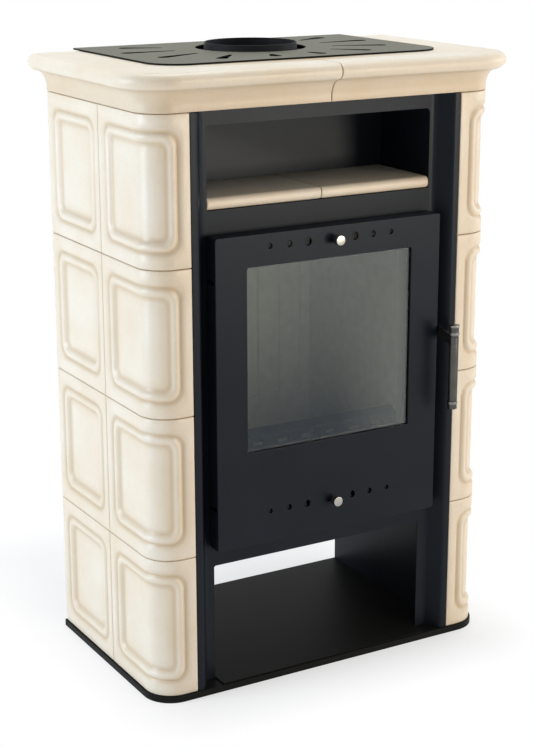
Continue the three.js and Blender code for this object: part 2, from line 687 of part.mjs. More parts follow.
function doorShell() {
  const { half, z0, z1, front, skin, back } = DOOR;
  const rect = (inset, r) => roundedRect(-half + inset, half - inset, z0 + inset, z1 - inset, r);
  const skinBack = front + skin;
  const face = frontal(rect(0, 4), front, skinBack);
  const walls = frontal(ringShape(rect(0, 4), rect(DOOR_WALL, 1.5)), skinBack - 1, back);
  const flangeHole = roundedRect(-DOORWAY.half - 1, DOORWAY.half + 1, DOORWAY.z0 - 1, DOORWAY.z1 + 1, 6);
  const flange = frontal(ringShape(rect(1, 2), flangeHole), back - DOOR_WALL, back);
  const additions = [walls, flange];
  HINGE.heights.forEach((z) => additions.push(...hingeEars(z)));
  Object.values(AIR_ROWS).forEach((z) => additions.push(...slideRails(z)));
  const window = roundedRect(-WINDOW.half, WINDOW.half, WINDOW.z0, WINDOW.z1, 2);
  const tools = [frontal(window, front - PAST, skinBack + 2)];
  for (const z of HINGE.heights) {
    const reach = HINGE.lug / 2 + GAP;
    tools.push(block(-half - PAST, -DOORWAY.half - 12, skinBack, back + PAST, z - reach, z + reach));
    tools.push(upright(circle(HINGE.x, HINGE.y, HINGE.bore), z - 15, z + 15, 6));
  }
  for (const z of Object.values(AIR_ROWS)) {
    tools.push(...airHoles(z, 0, front - PAST, skinBack + 0.2));
    const [left, right] = [KNOB_X - SLIDE.open - 3.5, KNOB_X + SLIDE.close + 3.5];
    tools.push(frontal(roundedRect(left, right, z - 3.5, z + 3.5, 3.4), front - PAST, skinBack + 0.2));
  }
  tools.push(sideways(circle(LEVER.y, LEVER.z, LEVER.bore), half - 8, half + PAST, 6));
  return cut(join(face, ...additions), ...tools);
}

function doorGlass() {
  const outline = roundedRect(-WINDOW.half - 9, WINDOW.half + 9, WINDOW.z0 - 9, WINDOW.z1 + 9, 4);
  return frontal(outline, 0.6, 4.6);
}

function glassRetainer() {
  const outer = roundedRect(-WINDOW.half - 9, WINDOW.half + 9, WINDOW.z0 - 9, WINDOW.z1 + 9, 4);
  const inner = roundedRect(-WINDOW.half + 3, WINDOW.half - 3, WINDOW.z0 + 3, WINDOW.z1 - 3, 4);
  return frontal(ringShape(outer, inner), 5, 8);
}

function doorSeal() {
  const rect = (out) => roundedRect(
    -DOORWAY.half - out, DOORWAY.half + out, DOORWAY.z0 - out, DOORWAY.z1 + out, 6 + out);
  return frontal(ringShape(rect(9.5), rect(1.5)), DOOR.back + GAP, PANEL_Y - GAP);
}

// A bent plate on the panel whose tongue reaches behind the door's skin to the hinge pin.
function hingeBracket(z) {
  const { x, y, lug, bore } = HINGE;
  const foot = PANEL_Y - GAP;
  const tongue = new THREE.Shape();
  tongue.absarc(x, y, 5.4, Math.PI * 0.83, Math.PI * 1.83);
  tongue.lineTo(x + 19, foot);
  tongue.lineTo(x + 7, foot);
  const plate = block(x + 9.5, x + 21, foot - 2.5, foot, z - 16, z + 16);
  const arm = upright(tongue, z - lug / 2, z + lug / 2, 6);
  const hole = upright(circle(x, y, bore), z - 10, z + 10, 6);
  return cut(join(plate, arm), hole);
}

function hingePin(z) {
  const { x, y, pin } = HINGE;
  const [low, high] = [z - 13, z + 10 + GAP];
  return turned([[0, low], [pin, low], [pin, high], [4.8, high], [4.8, high + 2.5], [0, high + 2.5]], 16)
    .translate(x, y, 0);
}

// The hook on the panel's bend that the lever's nose rises behind when the grip is pressed in.
function latchKeeper() {
  const back = PANEL_Y - 1.4;
  const [lip, front] = [LEVER.z + 6.5, LEVER.y + 7];
  const hook = polygon([
    [front, lip], [front + 2.4, lip], [front + 2.4, lip + 4], [back - 3, lip + 4], [back - 3, LEVER.z - 7],
    [back, LEVER.z - 7], [back, lip + 22], [back - 3, lip + 22], [back - 3, lip + 9], [front, lip + 9],
  ]);
  return sideways(hook, LEVER.x0 - 0.5, LEVER.x1 + 1);
}

// ---- handle and air controls --------------------------------------------------------------

function handleLever() {
  const { y, z, x0, x1, bore } = LEVER;
  const gripY = GRIP.y + GRIP.r + GAP;
  const outline = new THREE.Shape();
  outline.moveTo(gripY, 518);
  outline.lineTo(y - 9, 526);
  outline.quadraticCurveTo(y, 528.5, y + 5, z - 6);
  outline.lineTo(y + 14.8, z - 5);
  outline.lineTo(y + 14.8, z + 4.6);
  outline.lineTo(y + 12, z + 4.6);
  outline.lineTo(y + 11.2, z + 0.5);
  outline.lineTo(y + 8, z + 1);
  outline.quadraticCurveTo(y + 6, z + 8, y - 6, z + 7);
  outline.lineTo(gripY, 534.5);
  return cut(sideways(outline, x0, x1, 4), sideways(circle(y, z, bore), x0 - PAST, x1 + PAST, 5));
}

function handlePin() {
  const [low, high] = [DOOR.half - 9, LEVER.x1 + 2.5];
  const profile = [[0, low], [6, low], [6, low + 3], [LEVER.pin, low + 3], [LEVER.pin, high - 2.4]];
  profile.push([LEVER.pin - 0.8, high], [0, high]);
  return turned(profile, 16).rotateY(Math.PI / 2).translate(0, LEVER.y, LEVER.z);
}

// Round grip with a ring near each end, turned about its upright axis.
function handleGrip() {
  const { x, y, z0, z1, r } = GRIP;
  const ring = r + 0.9;
  return turned([
    [0, z0], [r - 1.2, z0], [r, z0 + 2], [r, z0 + 8], [ring, z0 + 9], [ring, z0 + 12], [r, z0 + 13],
    [r, z1 - 17], [ring, z1 - 16], [ring, z1 - 13], [r, z1 - 12], [r, z1 - 4],
    [ring, z1 - 3.5], [ring, z1 - 1], [r - 1, z1], [0, z1],
  ], 14).translate(x, y, 0);
}

function airSlide(z) {
  const outline = roundedRect(-SLIDE.half, SLIDE.half, z - SLIDE.high / 2, z + SLIDE.high / 2, 3);
  const plate = frontal(outline, SLIDE.y, SLIDE.y + SLIDE.t);
  return cut(plate, ...airHoles(z, SLIDE.shift, SLIDE.y - 5, SLIDE.y + 8));
}

function airKnob(z) {
  const [inner, face] = [0.1, 22];
  const profile = [
    [0, -inner], [3, -inner], [3, 3.4], [4.8, 3.4], [4.8, 11], [7.2, 11.4], [7.8, 12.4],
    [7.8, face - 1.2], [6.8, face], [0, face],
  ];
  return turned(profile, 16).rotateX(Math.PI / 2).translate(KNOB_X, 0, z);
}

// ---- assembly -----------------------------------------------------------------------------

const stove = new THREE.Group();
const body = new THREE.Group();
body.position.y = -BASE_BACK / 2;
stove.add(body);

function add(name, geometry, material) {
  const mesh = new THREE.Mesh(geometry, material);
  mesh.name = name;
  body.add(mesh);
  return mesh;
}

function addPair(name, geometry, material) {
  const plain = bare(geometry);
  add(`${name}_left`, plain, material());
  add(`${name}_right`, mirrored(plain), material());
}

function addTiles() {
  const kinds = [['front', tile(true)], ['rear', tile(false)]];
  for (const [place, left] of kinds) {
    const right = mirrored(left);
    for (let row = 0; row < ROWS; row += 1) {
      for (const [side, geometry] of [['left', left], ['right', right]]) {
        const mesh = add(`tile_${side}_${place}_${row + 1}`, geometry, glaze());
        mesh.position.z = TILE_Z + row * ROW_PITCH;
      }
    }
  }
}

function addCasing() {
  add('base_plate', basePlate(), paint());
  addTiles();
  addPair('cornice', corniceHalf(), glaze);
  add('front_frame', frontFrame(), paint());
  add('niche_box', nicheBox(), paint());
  addPair('shelf_tile', shelfTile(), glaze);
  add('top_plate', topPlate(), topPaint());
  add('flue_collar', flueCollar(), castIron());
  addPair('side_liner', sideLiner(), paint);
  add('rear_panel', rearPanel(), paint());
  add('bay_ceiling', bayCeiling(), paint());
  add('bay_floor', bayFloor(), paint());
}

function addFirebox() {
  add('firebox_body', fireboxBody(), paint());
  add('smoke_duct', smokeDuct(), paint());
  add('hearth_plate', hearthPlate(), castIron());
  addPair('lining_brick', liningSide(), fireBrick);
  add('lining_brick_back', liningBack(), fireBrick());
  addPair('hearth_brick', hearthBrickSide(), fireBrick);
  add('hearth_brick_front', hearthBrickMiddle(38, GRATE.y0), fireBrick());
  add('hearth_brick_back', hearthBrickMiddle(GRATE.y1, BACK_BRICK_Y - LINING_T - GAP), fireBrick());
  add('grate', grate(), castIron());
  add('baffle_plate', baffle(), fireBrick());
  add('log_guard', logGuard(), darkSteel());
  add('ash_pan', ashPan(), zincSteel());
}

function addDoor() {
  add('door_shell', doorShell(), paint());
  add('door_glass', doorGlass(), ceramicGlass());
  add('glass_retainer', glassRetainer(), darkSteel());
  add('door_seal', doorSeal(), rope());
  const names = ['lower', 'upper'];
  HINGE.heights.forEach((z, i) => {
    add(`hinge_bracket_${names[i]}`, hingeBracket(z), paint());
    add(`hinge_pin_${names[i]}`, hingePin(z), darkSteel());
  });
  add('latch_keeper', latchKeeper(), darkSteel());
  add('handle_lever', handleLever(), darkSteel());
  add('handle_pin', handlePin(), brightSteel());
  add('handle_grip', handleGrip(), darkSteel());
  for (const [name, z] of Object.entries(AIR_ROWS)) {
    add(`air_slide_${name}`, airSlide(z), paint());
    add(`air_knob_${name}`, airKnob(z), brightSteel());
  }
}

addCasing();
addFirebox();
addDoor();

export default stove;
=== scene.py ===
# %% [markdown]
# # A tiled wood stove
# The stove is a steel firebox in a jacket of glazed tiles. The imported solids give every
# piece its place and size; here the pieces that are seen get their fine shape and finish.

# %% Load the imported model
import json
import math
import random

import bmesh
import bpy
from mathutils import Matrix, Vector
from mathutils.geometry import tessellate_polygon


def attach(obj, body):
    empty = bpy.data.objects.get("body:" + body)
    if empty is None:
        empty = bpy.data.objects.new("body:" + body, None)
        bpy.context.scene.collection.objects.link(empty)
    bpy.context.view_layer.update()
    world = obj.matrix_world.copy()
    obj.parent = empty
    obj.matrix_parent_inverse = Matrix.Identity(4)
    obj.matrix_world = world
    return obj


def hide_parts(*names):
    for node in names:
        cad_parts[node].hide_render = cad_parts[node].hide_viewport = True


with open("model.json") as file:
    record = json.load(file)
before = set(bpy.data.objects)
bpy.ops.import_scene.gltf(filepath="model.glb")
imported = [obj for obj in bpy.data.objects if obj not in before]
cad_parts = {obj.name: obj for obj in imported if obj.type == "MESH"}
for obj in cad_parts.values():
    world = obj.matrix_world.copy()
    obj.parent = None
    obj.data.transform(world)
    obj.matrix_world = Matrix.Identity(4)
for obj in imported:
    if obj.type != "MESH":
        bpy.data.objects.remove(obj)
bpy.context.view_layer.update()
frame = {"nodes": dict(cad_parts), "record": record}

scene = bpy.context.scene

# %% [markdown]
# ## Working units
# Stove makers draw in millimetres, from the middle of the stove and from the front plane of
# its tiles. The numbers could be typed in metres, as Blender wants them, but they stay easier
# to read if a small function turns a drawing's point into a place in the shared frame. A
# second one puts a finished mesh, lamp or camera into the scene.

# %% From millimetres to the shared frame
MM = 0.001
MIDDLE_Y = 178.0  # from the tiles' front plane to the middle of the base


def at(x, y, z):
    return Vector((x * MM, (y - MIDDLE_Y) * MM, z * MM))


def in_scene(name, data):
    made = bpy.data.objects.new(name, data)
    scene.collection.objects.link(made)
    return made


# %% [markdown]
# ## The camera
# The place and tilt were fitted to the straight edges of the object, so that the picture has
# the same perspective as the photograph. Three angles could turn the camera; building it from
# its own axes leaves no doubt about their order. A long lens keeps upright edges parallel.

# %% Place the camera
CAMERA_AT = (-1.33488, -2.29783, 1.21591)
YAW, PITCH, ROLL = math.radians(-29.963), math.radians(16.122), math.radians(-0.15)
LENS, SENSOR = 81.04, 36.0

along_floor = math.cos(PITCH)
back_axis = Vector((
    math.sin(YAW) * along_floor, -math.cos(YAW) * along_floor, math.sin(PITCH)))
right_axis = Vector((math.cos(YAW), math.sin(YAW), 0))
up_axis = back_axis.cross(right_axis)
right_rolled = right_axis * math.cos(ROLL) + up_axis * math.sin(ROLL)
up_rolled = up_axis * math.cos(ROLL) - right_axis * math.sin(ROLL)

camera = in_scene("camera", bpy.data.cameras.new("camera"))
camera.data.lens = LENS
camera.data.sensor_width = SENSOR
camera.matrix_world = Matrix((
    (right_rolled.x, up_rolled.x, back_axis.x, CAMERA_AT[0]),
    (right_rolled.y, up_rolled.y, back_axis.y, CAMERA_AT[1]),
    (right_rolled.z, up_rolled.z, back_axis.z, CAMERA_AT[2]),
    (0, 0, 0, 1),
))
scene.camera = camera
print("camera", [round(v, 3) for v in CAMERA_AT], "lens", LENS)

# %% [markdown]
# ## Shells
# Plates, turned parts and swept mouldings are the three shapes that a stove is made of. They
# could be cut from Blender's own primitives, but such cuts leave stray edges. Here each maker
# gives one closed shell, a list of points and a list of faces, and a piece is one or more
# shells in one mesh.

# %% Turn shells into an object
def merged(*shells):
    points, faces = [], []
    for some_points, some_faces in shells:
        start = len(points)
        points += some_points
        faces += [[i + start for i in face] for face in some_faces]
    return points, faces


def ring_faces(rings, count):
    """Four-sided faces between each ring of points and the next."""
    faces = []
    for ring in range(rings - 1):
        for i in range(count):
            a, b = ring * count + i, ring * count + (i + 1) % count
            faces.append([a, b, b + count, a + count])
    return faces


def shade(mesh, crease):
    """Smooth shading, kept sharp where faces meet at more than the crease angle."""
    mesh.polygons.foreach_set("use_smooth", [True] * len(mesh.polygons))
    mesh.set_sharp_from_angle(angle=math.radians(crease))


def clean_mesh(mesh, crease):
    bm = bmesh.new()
    bm.from_mesh(mesh)
    bmesh.ops.recalc_face_normals(bm, faces=bm.faces)
    bm.to_mesh(mesh)
    bm.free()
    shade(mesh, crease)


def make(name, shell, material, crease=38.0):
    points, faces = shell
    mesh = bpy.data.meshes.new(name)
    mesh.from_pydata([at(*p) for p in points], [], faces)
    clean_mesh(mesh, crease)
    mesh.materials.append(material)
    return in_scene(name, mesh)


def stands_for(made, node):
    """The piece takes the node's place and body."""
    bodies = frame["record"]["behaviour"]["bodies"]
    body = next(name for name, nodes in bodies.items() if node in nodes)
    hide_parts(node)
    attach(made, body)


# %% [markdown]
# ## Plates
# Laser-cut sheet has a crisp outline, but its edges are never knife-sharp: paint rounds them
# and they catch a thin line of light. A bevel modifier could round them, but it trips over
# holes that lie close together. So each outline is drawn in where it meets the faces, along a
# quarter round of a few small steps.

# %% Outlines and plates
def arc(x, y, radius, start, end, steps):
    angles = [math.radians(start + (end - start) * i / steps) for i in range(steps + 1)]
    return [(x + radius * math.cos(a), y + radius * math.sin(a)) for a in angles]


def rounded_rect(x0, x1, y0, y1, radii, steps=6):
    ll, lr, ur, ul = radii if isinstance(radii, tuple) else (radii,) * 4
    corners = [
        (x1 - lr, y0 + lr, lr, -90), (x1 - ur, y1 - ur, ur, 0),
        (x0 + ul, y1 - ul, ul, 90), (x0 + ll, y0 + ll, ll, 180),
    ]
    outline = []
    for x, y, radius, start in corners:
        outline += arc(x, y, radius, start, start + 90, steps) if radius else [(x, y)]
    return outline


def circle(x, y, radius, steps):
    return arc(x, y, radius, 0, 360, steps)[:-1]


def signed_area(loop):
    return sum(a[0] * b[1] - b[0] * a[1] for a, b in zip(loop, loop[1:] + loop[:1])) / 2


def drawn_in(loop, distance):
    """The loop moved towards its left side, which is where the sheet is."""
    moved = []
    for i, point in enumerate(loop):
        before = (Vector(point) - Vector(loop[i - 1])).normalized()
        after = (Vector(loop[(i + 1) % len(loop)]) - Vector(point)).normalized()
        side = Vector((-(before + after).y, (before + after).x)).normalized()
        square = max(0.4, side.dot(Vector((-after.y, after.x))))
        moved.append((point[0] + side.x * distance / square, point[1] + side.y * distance / square))
    return moved


RIM_ROUND = [(1.0, 0.0), (0.617, 0.076), (0.293, 0.293), (0.076, 0.617), (0.0, 1.0)]
RIM_LEVEL = 0.4  # a level margin keeps the face's shading flat up to its edge
FACINGS = {  # how an outline and its depth are turned
    "front": lambda u, v, w: (u, w, v),
    "top": lambda u, v, w: (u, v, w),
    "side": lambda u, v, w: (w, u, v),
}


def plate(outline, holes, low, high, facing, edge, back_edge=None):
    """A sheet between two depths; edge rounds its low side and back_edge its high side."""
    back_edge = edge if back_edge is None else back_edge
    loops = [outline if signed_area(outline) > 0 else outline[::-1]]
    loops += [hole if signed_area(hole) < 0 else hole[::-1] for hole in holes]
    if edge:
        rings = [(edge + RIM_LEVEL, low)] + [(edge * a, low + edge * b) for a, b in RIM_ROUND]
    else:
        rings = [(0, low)]
    if back_edge:
        rings += [(back_edge * a, high - back_edge * b) for a, b in RIM_ROUND[::-1]]
        rings.append((back_edge + RIM_LEVEL, high))
    else:
        rings.append((0, high))
    place = FACINGS[facing]
    points, faces = [], []
    layers = [[drawn_in(loop, inset) if inset else loop for loop in loops] for inset, _ in rings]
    for layer, (_, depth) in zip(layers, rings):
        points += [place(u, v, depth) for loop in layer for u, v in loop]
    size = sum(len(loop) for loop in loops)
    for ring in range(len(rings) - 1):
        start = ring * size
        for loop in loops:
            count = len(loop)
            for i in range(count):
                a, b = start + i, start + (i + 1) % count
                faces.append([a, b, b + size, a + size])
            start += count
    for layer, start in ((layers[0], 0), (layers[-1], (len(rings) - 1) * size)):
        drawn = [[Vector((u, v, 0)) for u, v in loop] for loop in layer]
        faces += [[i + start for i in triangle] for triangle in tessellate_polygon(drawn)]
    return points, faces


def slab(x0, x1, y0, y1, z0, z1):
    return plate([(x0, z0), (x1, z0), (x1, z1), (x0, z1)], [], y0, y1, "front", 0)


# %% [markdown]
# ## Turned parts
# Knobs, pins and the flue collar come off a lathe. A cylinder could be cut and scaled into
# shape, but the lathe's own way is shorter: the profile is a line of radius and height, its
# corners are rounded, and the line is spun round an axis.

# %% Profiles and turned parts
def rounded(points, radii, steps=4):
    """An open line with its corners rounded."""
    line = []
    for i, (point, radius) in enumerate(zip(points, radii)):
        if not radius:
            line.append(tuple(point))
            continue
        corner = Vector(point)
        to_last = (Vector(points[i - 1]) - corner).normalized()
        to_next = (Vector(points[i + 1]) - corner).normalized()
        half = to_last.angle(to_next) / 2
        start = corner + to_last * radius / math.tan(half)
        end = corner + to_next * radius / math.tan(half)
        middle = corner + (to_last + to_next).normalized() * radius / math.sin(half)
        for k in range(steps + 1):
            along = start.lerp(end, k / steps) - middle
            line.append(tuple(middle + along.normalized() * radius))
    return line


AXES = {  # how a point of the turned part lies for each axis
    "up": lambda a, b, h: (a, b, h),
    "front": lambda a, b, h: (a, -h, b),
    "side": lambda a, b, h: (h, a, b),
}


def turned(profile, segments, axis, centre):
    place = AXES[axis]
    points, faces, rings = [], [], []
    for radius, height in profile:
        count = segments if radius > 1e-6 else 1
        rings.append((len(points), count))
        for i in range(count):
            angle = 2 * math.pi * i / segments
            x, y, z = place(radius * math.cos(angle), radius * math.sin(angle), height)
            points.append((x + centre[0], y + centre[1], z + centre[2]))
    for (a0, a_count), (b0, b_count) in zip(rings, rings[1:]):
        for i in range(segments):
            j = (i + 1) % segments
            lower = [a0 + i, a0 + j] if a_count > 1 else [a0]
            upper = [b0 + j, b0 + i] if b_count > 1 else [b0]
            if len(lower) + len(upper) > 2:
                faces.append(lower + upper)
    return points, faces


# %% [markdown]
# ## Finishes
# Every finish starts from one plain recipe: two tones mixed by a cloudy noise, a roughness
# that wanders a little, and a fine bump for the grain of the surface. Pictures could be
# wrapped round the pieces instead, but noise needs no unwrapping and shows no seam. Its scale
# is the size of the real grain, because the shared frame is in metres.

# %% The common recipe for a finish
MIX_A, MIX_B, MIX_RESULT = 6, 7, 2  # the colour sockets of a mix node


def mix_node(tree, factor, first, second):
    node = tree.nodes.new("ShaderNodeMix")
    node.data_type = "RGBA"
    for key, value in (("Factor", factor), (MIX_A, first), (MIX_B, second)):
        if isinstance(value, bpy.types.NodeSocket):
            tree.links.new(value, node.inputs[key])
        else:
            node.inputs[key].default_value = value
    return node.outputs[MIX_RESULT]


def noise(tree, scale, detail, stretch=None):
    node = tree.nodes.new("ShaderNodeTexNoise")
    node.inputs["Scale"].default_value = scale
    node.inputs["Detail"].default_value = detail
    place = tree.nodes.new("ShaderNodeTexCoord").outputs["Object"]
    if stretch:
        mapping = tree.nodes.new("ShaderNodeMapping")
        mapping.inputs["Scale"].default_value = stretch
        tree.links.new(place, mapping.inputs["Vector"])
        place = mapping.outputs["Vector"]
    tree.links.new(place, node.inputs["Vector"])
    return node.outputs["Fac"]


def span(tree, value, from_min, from_max, to_min, to_max):
    node = tree.nodes.new("ShaderNodeMapRange")
    tree.links.new(value, node.inputs["Value"])
    node.inputs["From Min"].default_value = from_min
    node.inputs["From Max"].default_value = from_max
    node.inputs["To Min"].default_value = to_min
    node.inputs["To Max"].default_value = to_max
    return node.outputs["Result"]


def bump(tree, height, distance, under=None):
    node = tree.nodes.new("ShaderNodeBump")
    node.inputs["Distance"].default_value = distance
    tree.links.new(height, node.inputs["Height"])
    if under:
        tree.links.new(under, node.inputs["Normal"])
    return node.outputs["Normal"]


def blank_material(name):
    material = bpy.data.materials.new(name)
    material.use_nodes = True
    return material, material.node_tree, material.node_tree.nodes["Principled BSDF"]


def finish(name, tones, cloud, rough, grain, depth, metallic=0.0, stretch=None, **sockets):
    """tones: two colours, cloud: the scale of their clouds, rough: the least and most roughness,
    grain and depth: the scale and height of the bump."""
    material, tree, shader = blank_material(name)
    clouds = span(tree, noise(tree, cloud, 5.0), 0.32, 0.68, 0.0, 1.0)
    colour = mix_node(tree, clouds, (*tones[0], 1), (*tones[1], 1))
    tree.links.new(colour, shader.inputs["Base Color"])
    fine = noise(tree, grain, 2.0, stretch)
    tree.links.new(span(tree, fine, 0.3, 0.7, *rough), shader.inputs["Roughness"])
    tree.links.new(bump(tree, fine, depth), shader.inputs["Normal"])
    shader.inputs["Metallic"].default_value = metallic
    for socket, value in sockets.items():
        shader.inputs[socket.replace("_", " ")].default_value = value
    return material


# %% [markdown]
# ## Painted steel
# Stove paint is a satin, almost black coat, sprayed on. One flat black would look like a hole
# in the picture; its fine orange-peel, a millimetre wide and some hundredths deep, breaks up
# the reflections. The base is a shade duller, the cover is a warm grey, and the cover's cut
# edges, above all the walls of its slots, are darker than its faces as painted shade.

# %% Painted steel and iron
steel_paint = finish(
    "steel_paint", ((0.0082, 0.0103, 0.0145), (0.0108, 0.0133, 0.0184)), 9, (0.3, 0.4),
    1400, 4e-5, Specular_IOR_Level=0.13, Specular_Tint=(0.8, 0.9, 1.0, 1))
base_paint = finish(
    "base_paint", ((0.0076, 0.0078, 0.0074), (0.01, 0.0102, 0.0098)), 9, (0.46, 0.56),
    1400, 4e-5, Specular_IOR_Level=0.07)
cover_paint = finish(
    "cover_paint", ((0.066, 0.064, 0.038), (0.082, 0.079, 0.048)), 7, (0.42, 0.54),
    1100, 8e-5, Specular_IOR_Level=0.22)
cast_iron = finish(
    "cast_iron", ((0.006, 0.0065, 0.0078), (0.01, 0.0107, 0.0125)), 40, (0.5, 0.66),
    900, 1.2e-4, 0.1, Specular_IOR_Level=0.15)
# Painted shade for the cover's cut edges, so that its slots read dark.
painted_shade_edge = finish(
    "painted_shade_edge", ((0.008, 0.0075, 0.006), (0.014, 0.013, 0.01)), 90, (0.6, 0.75),
    1600, 5e-5, Specular_IOR_Level=0.1)

# %% [markdown]
# The knobs are bare turned steel, the grip has darkened with heat, and the lining is soft
# brick. Each could have nodes of its own, but the recipe covers them all: what changes is the
# tone, the roughness and the grain, which on bright steel is drawn out in one direction.

# %% Bare metals, brick, rope and clay
bright_steel = finish(
    "bright_steel", ((0.34, 0.33, 0.305), (0.43, 0.415, 0.385)), 60, (0.2, 0.3),
    2600, 1e-5, 1.0, (1, 1, 0.1))
grip_steel = finish(
    "grip_steel", ((0.075, 0.074, 0.07), (0.105, 0.103, 0.097)), 50, (0.2, 0.3),
    1800, 1.5e-5, 0.9)
# A brighter steel for the grip's rings and the lever's cut edges: a painted highlight.
highlight_steel = finish(
    "highlight_steel", ((0.2, 0.195, 0.18), (0.26, 0.25, 0.235)), 60, (0.2, 0.3), 2600, 1e-5, 1.0)
dark_steel = finish(
    "dark_steel", ((0.028, 0.028, 0.026), (0.045, 0.044, 0.041)), 50, (0.2, 0.3),
    1800, 1.5e-5, 0.6)
zinc_steel = finish(
    "zinc_steel", ((0.42, 0.43, 0.44), (0.56, 0.57, 0.58)), 90, (0.34, 0.5), 700, 2e-5, 0.9)
fire_brick = finish(
    "fire_brick", ((0.4, 0.37, 0.29), (0.47, 0.43, 0.34)), 60, (0.85, 0.95), 420, 2.5e-4)
rope = finish(
    "rope", ((0.3, 0.29, 0.27), (0.46, 0.45, 0.42)), 300, (0.85, 0.95), 500, 8e-4, 0, (1, 1, 1))
bare_clay = finish(
    "bare_clay", ((0.62, 0.5, 0.38), (0.7, 0.58, 0.45)), 40, (0.8, 0.92), 700, 3e-4)

# %% [markdown]
# ## The glaze
# The cream glaze is thick and glossy. Where it runs into a groove it is deeper and warmer,
# over an edge it thins and lets the clay through, and iron in the clay gives tiny brown
# specks. The grooves could be painted by hand, but each tile's mesh knows where they are: it
# carries how dark each groove is, glaze that pools there and painted shade together, as an
# attribute, and a small shift from tile to tile, as `kiln`, because no two come out of the
# kiln the same.

# %% Glaze for tiles and cornice
CREAM = (0.775, 0.705, 0.59)
CREAM_WARM = (0.735, 0.635, 0.49)
# The brown of glaze gathered in the grooves, laid on more strongly as painted shade.
POOLED_AND_SHADE = (0.5, 0.36, 0.2)
SPECK = (0.36, 0.24, 0.13)
MOTTLE_SHARE, POOLED_AND_SHADE_SHARE, SPECK_SHARE = 0.35, 0.78, 0.14
GLAZE_IOR = 1.52


def attribute(tree, name):
    node = tree.nodes.new("ShaderNodeAttribute")
    node.attribute_name = name
    return node.outputs["Fac"]


def glaze_finish(name):
    material, tree, shader = blank_material(name)
    clouds = span(tree, noise(tree, 11, 4.0), 0.35, 0.65, 0.0, 1.0)
    cream = mix_node(tree, clouds, (*CREAM, 1), (*CREAM_WARM, 1))
    mottle = span(tree, noise(tree, 420, 3.0), 0.45, 0.75, 0.0, MOTTLE_SHARE)
    cream = mix_node(tree, mottle, cream, (*CREAM_WARM, 1))
    cream = mix_node(tree, attribute(tree, "kiln"), cream, (*CREAM_WARM, 1))
    # Glaze pooling and painted shade in the grooves, from the mesh's attribute.
    pooled_and_shade = span(tree, attribute(tree, "pooled_and_shade"), 0.0, 1.0, 0.0, POOLED_AND_SHADE_SHARE)
    cream = mix_node(tree, pooled_and_shade, cream, (*POOLED_AND_SHADE, 1))
    specks = span(tree, noise(tree, 620, 2.0), 0.52, 0.75, 0.0, SPECK_SHARE)
    cream = mix_node(tree, specks, cream, (*SPECK, 1))
    tree.links.new(cream, shader.inputs["Base Color"])
    ripple = noise(tree, 60, 2.0)
    tree.links.new(span(tree, ripple, 0.3, 0.7, 0.36, 0.46), shader.inputs["Roughness"])
    fine = bump(tree, noise(tree, 500, 2.0), 4e-5)
    tree.links.new(bump(tree, ripple, 2.5e-4, fine), shader.inputs["Normal"])
    shader.inputs["IOR"].default_value = GLAZE_IOR
    return material


glaze = glaze_finish("glaze")

# %% [markdown]
# ## The glass
# Ceramic stove glass is slightly smoked and very smooth. It shows the pale room as a veil
# over the dark firebox. The veil is a painted reflection: what the pane mirrors is tinted from
# clear at the top and on the right to dull and bluish at the foot.

# %% Glass finish
# The dull and the clear end of the painted reflection.
PAINTED_REFLECTION_LOW, PAINTED_REFLECTION_HIGH = (0.26, 0.31, 0.38), (0.93, 1.0, 0.98)
GLASS_IOR = 1.74  # a coated pane mirrors more than plain glass


def along_piece(tree, axis):
    """How far a point lies along the piece, from 0 to 1."""
    split = tree.nodes.new("ShaderNodeSeparateXYZ")
    place = tree.nodes.new("ShaderNodeTexCoord").outputs["Generated"]
    tree.links.new(place, split.inputs["Vector"])
    return split.outputs[axis]


def glass_finish(name):
    material = finish(name, ((0.74, 0.77, 0.72), (0.7, 0.73, 0.685)), 5, (0.02, 0.05), 30, 1e-5)
    tree = material.node_tree
    shader = tree.nodes["Principled BSDF"]
    # Painted reflection: the pane mirrors less at the foot, more at the top and on the right.
    upwards = span(tree, along_piece(tree, "Z"), 0.15, 0.98, 0.0, 1.0)
    sideways = span(tree, along_piece(tree, "X"), 0.55, 1.0, 0.0, 1.0)
    veil = mix_node(tree, upwards, (*PAINTED_REFLECTION_LOW, 1), (*PAINTED_REFLECTION_HIGH, 1))
    veil = mix_node(tree, sideways, veil, (*PAINTED_REFLECTION_HIGH, 1))
    tree.links.new(veil, shader.inputs["Specular Tint"])
    shader.inputs["Transmission Weight"].default_value = 1.0
    shader.inputs["IOR"].default_value = GLASS_IOR
    return material


stove_glass = glass_finish("stove_glass")
print("finishes:", len(bpy.data.materials))

# %% [markdown]
# ## Moulded tiles
# A tile is pressed in a mould: a flat border, a groove, a half-round bead and a sunk panel,
# with rounded corners throughout. A height map could raise the relief from a flat tile, but
# the mesh would need many more faces. So it follows the mould. Each ring below is one level
# line of the relief, given by its inset from the upright edges, its inset from the top and
# bottom, its corner radius, its depth below the border and how dark it is there, from glaze
# that pools and from painted shade in the grooves.

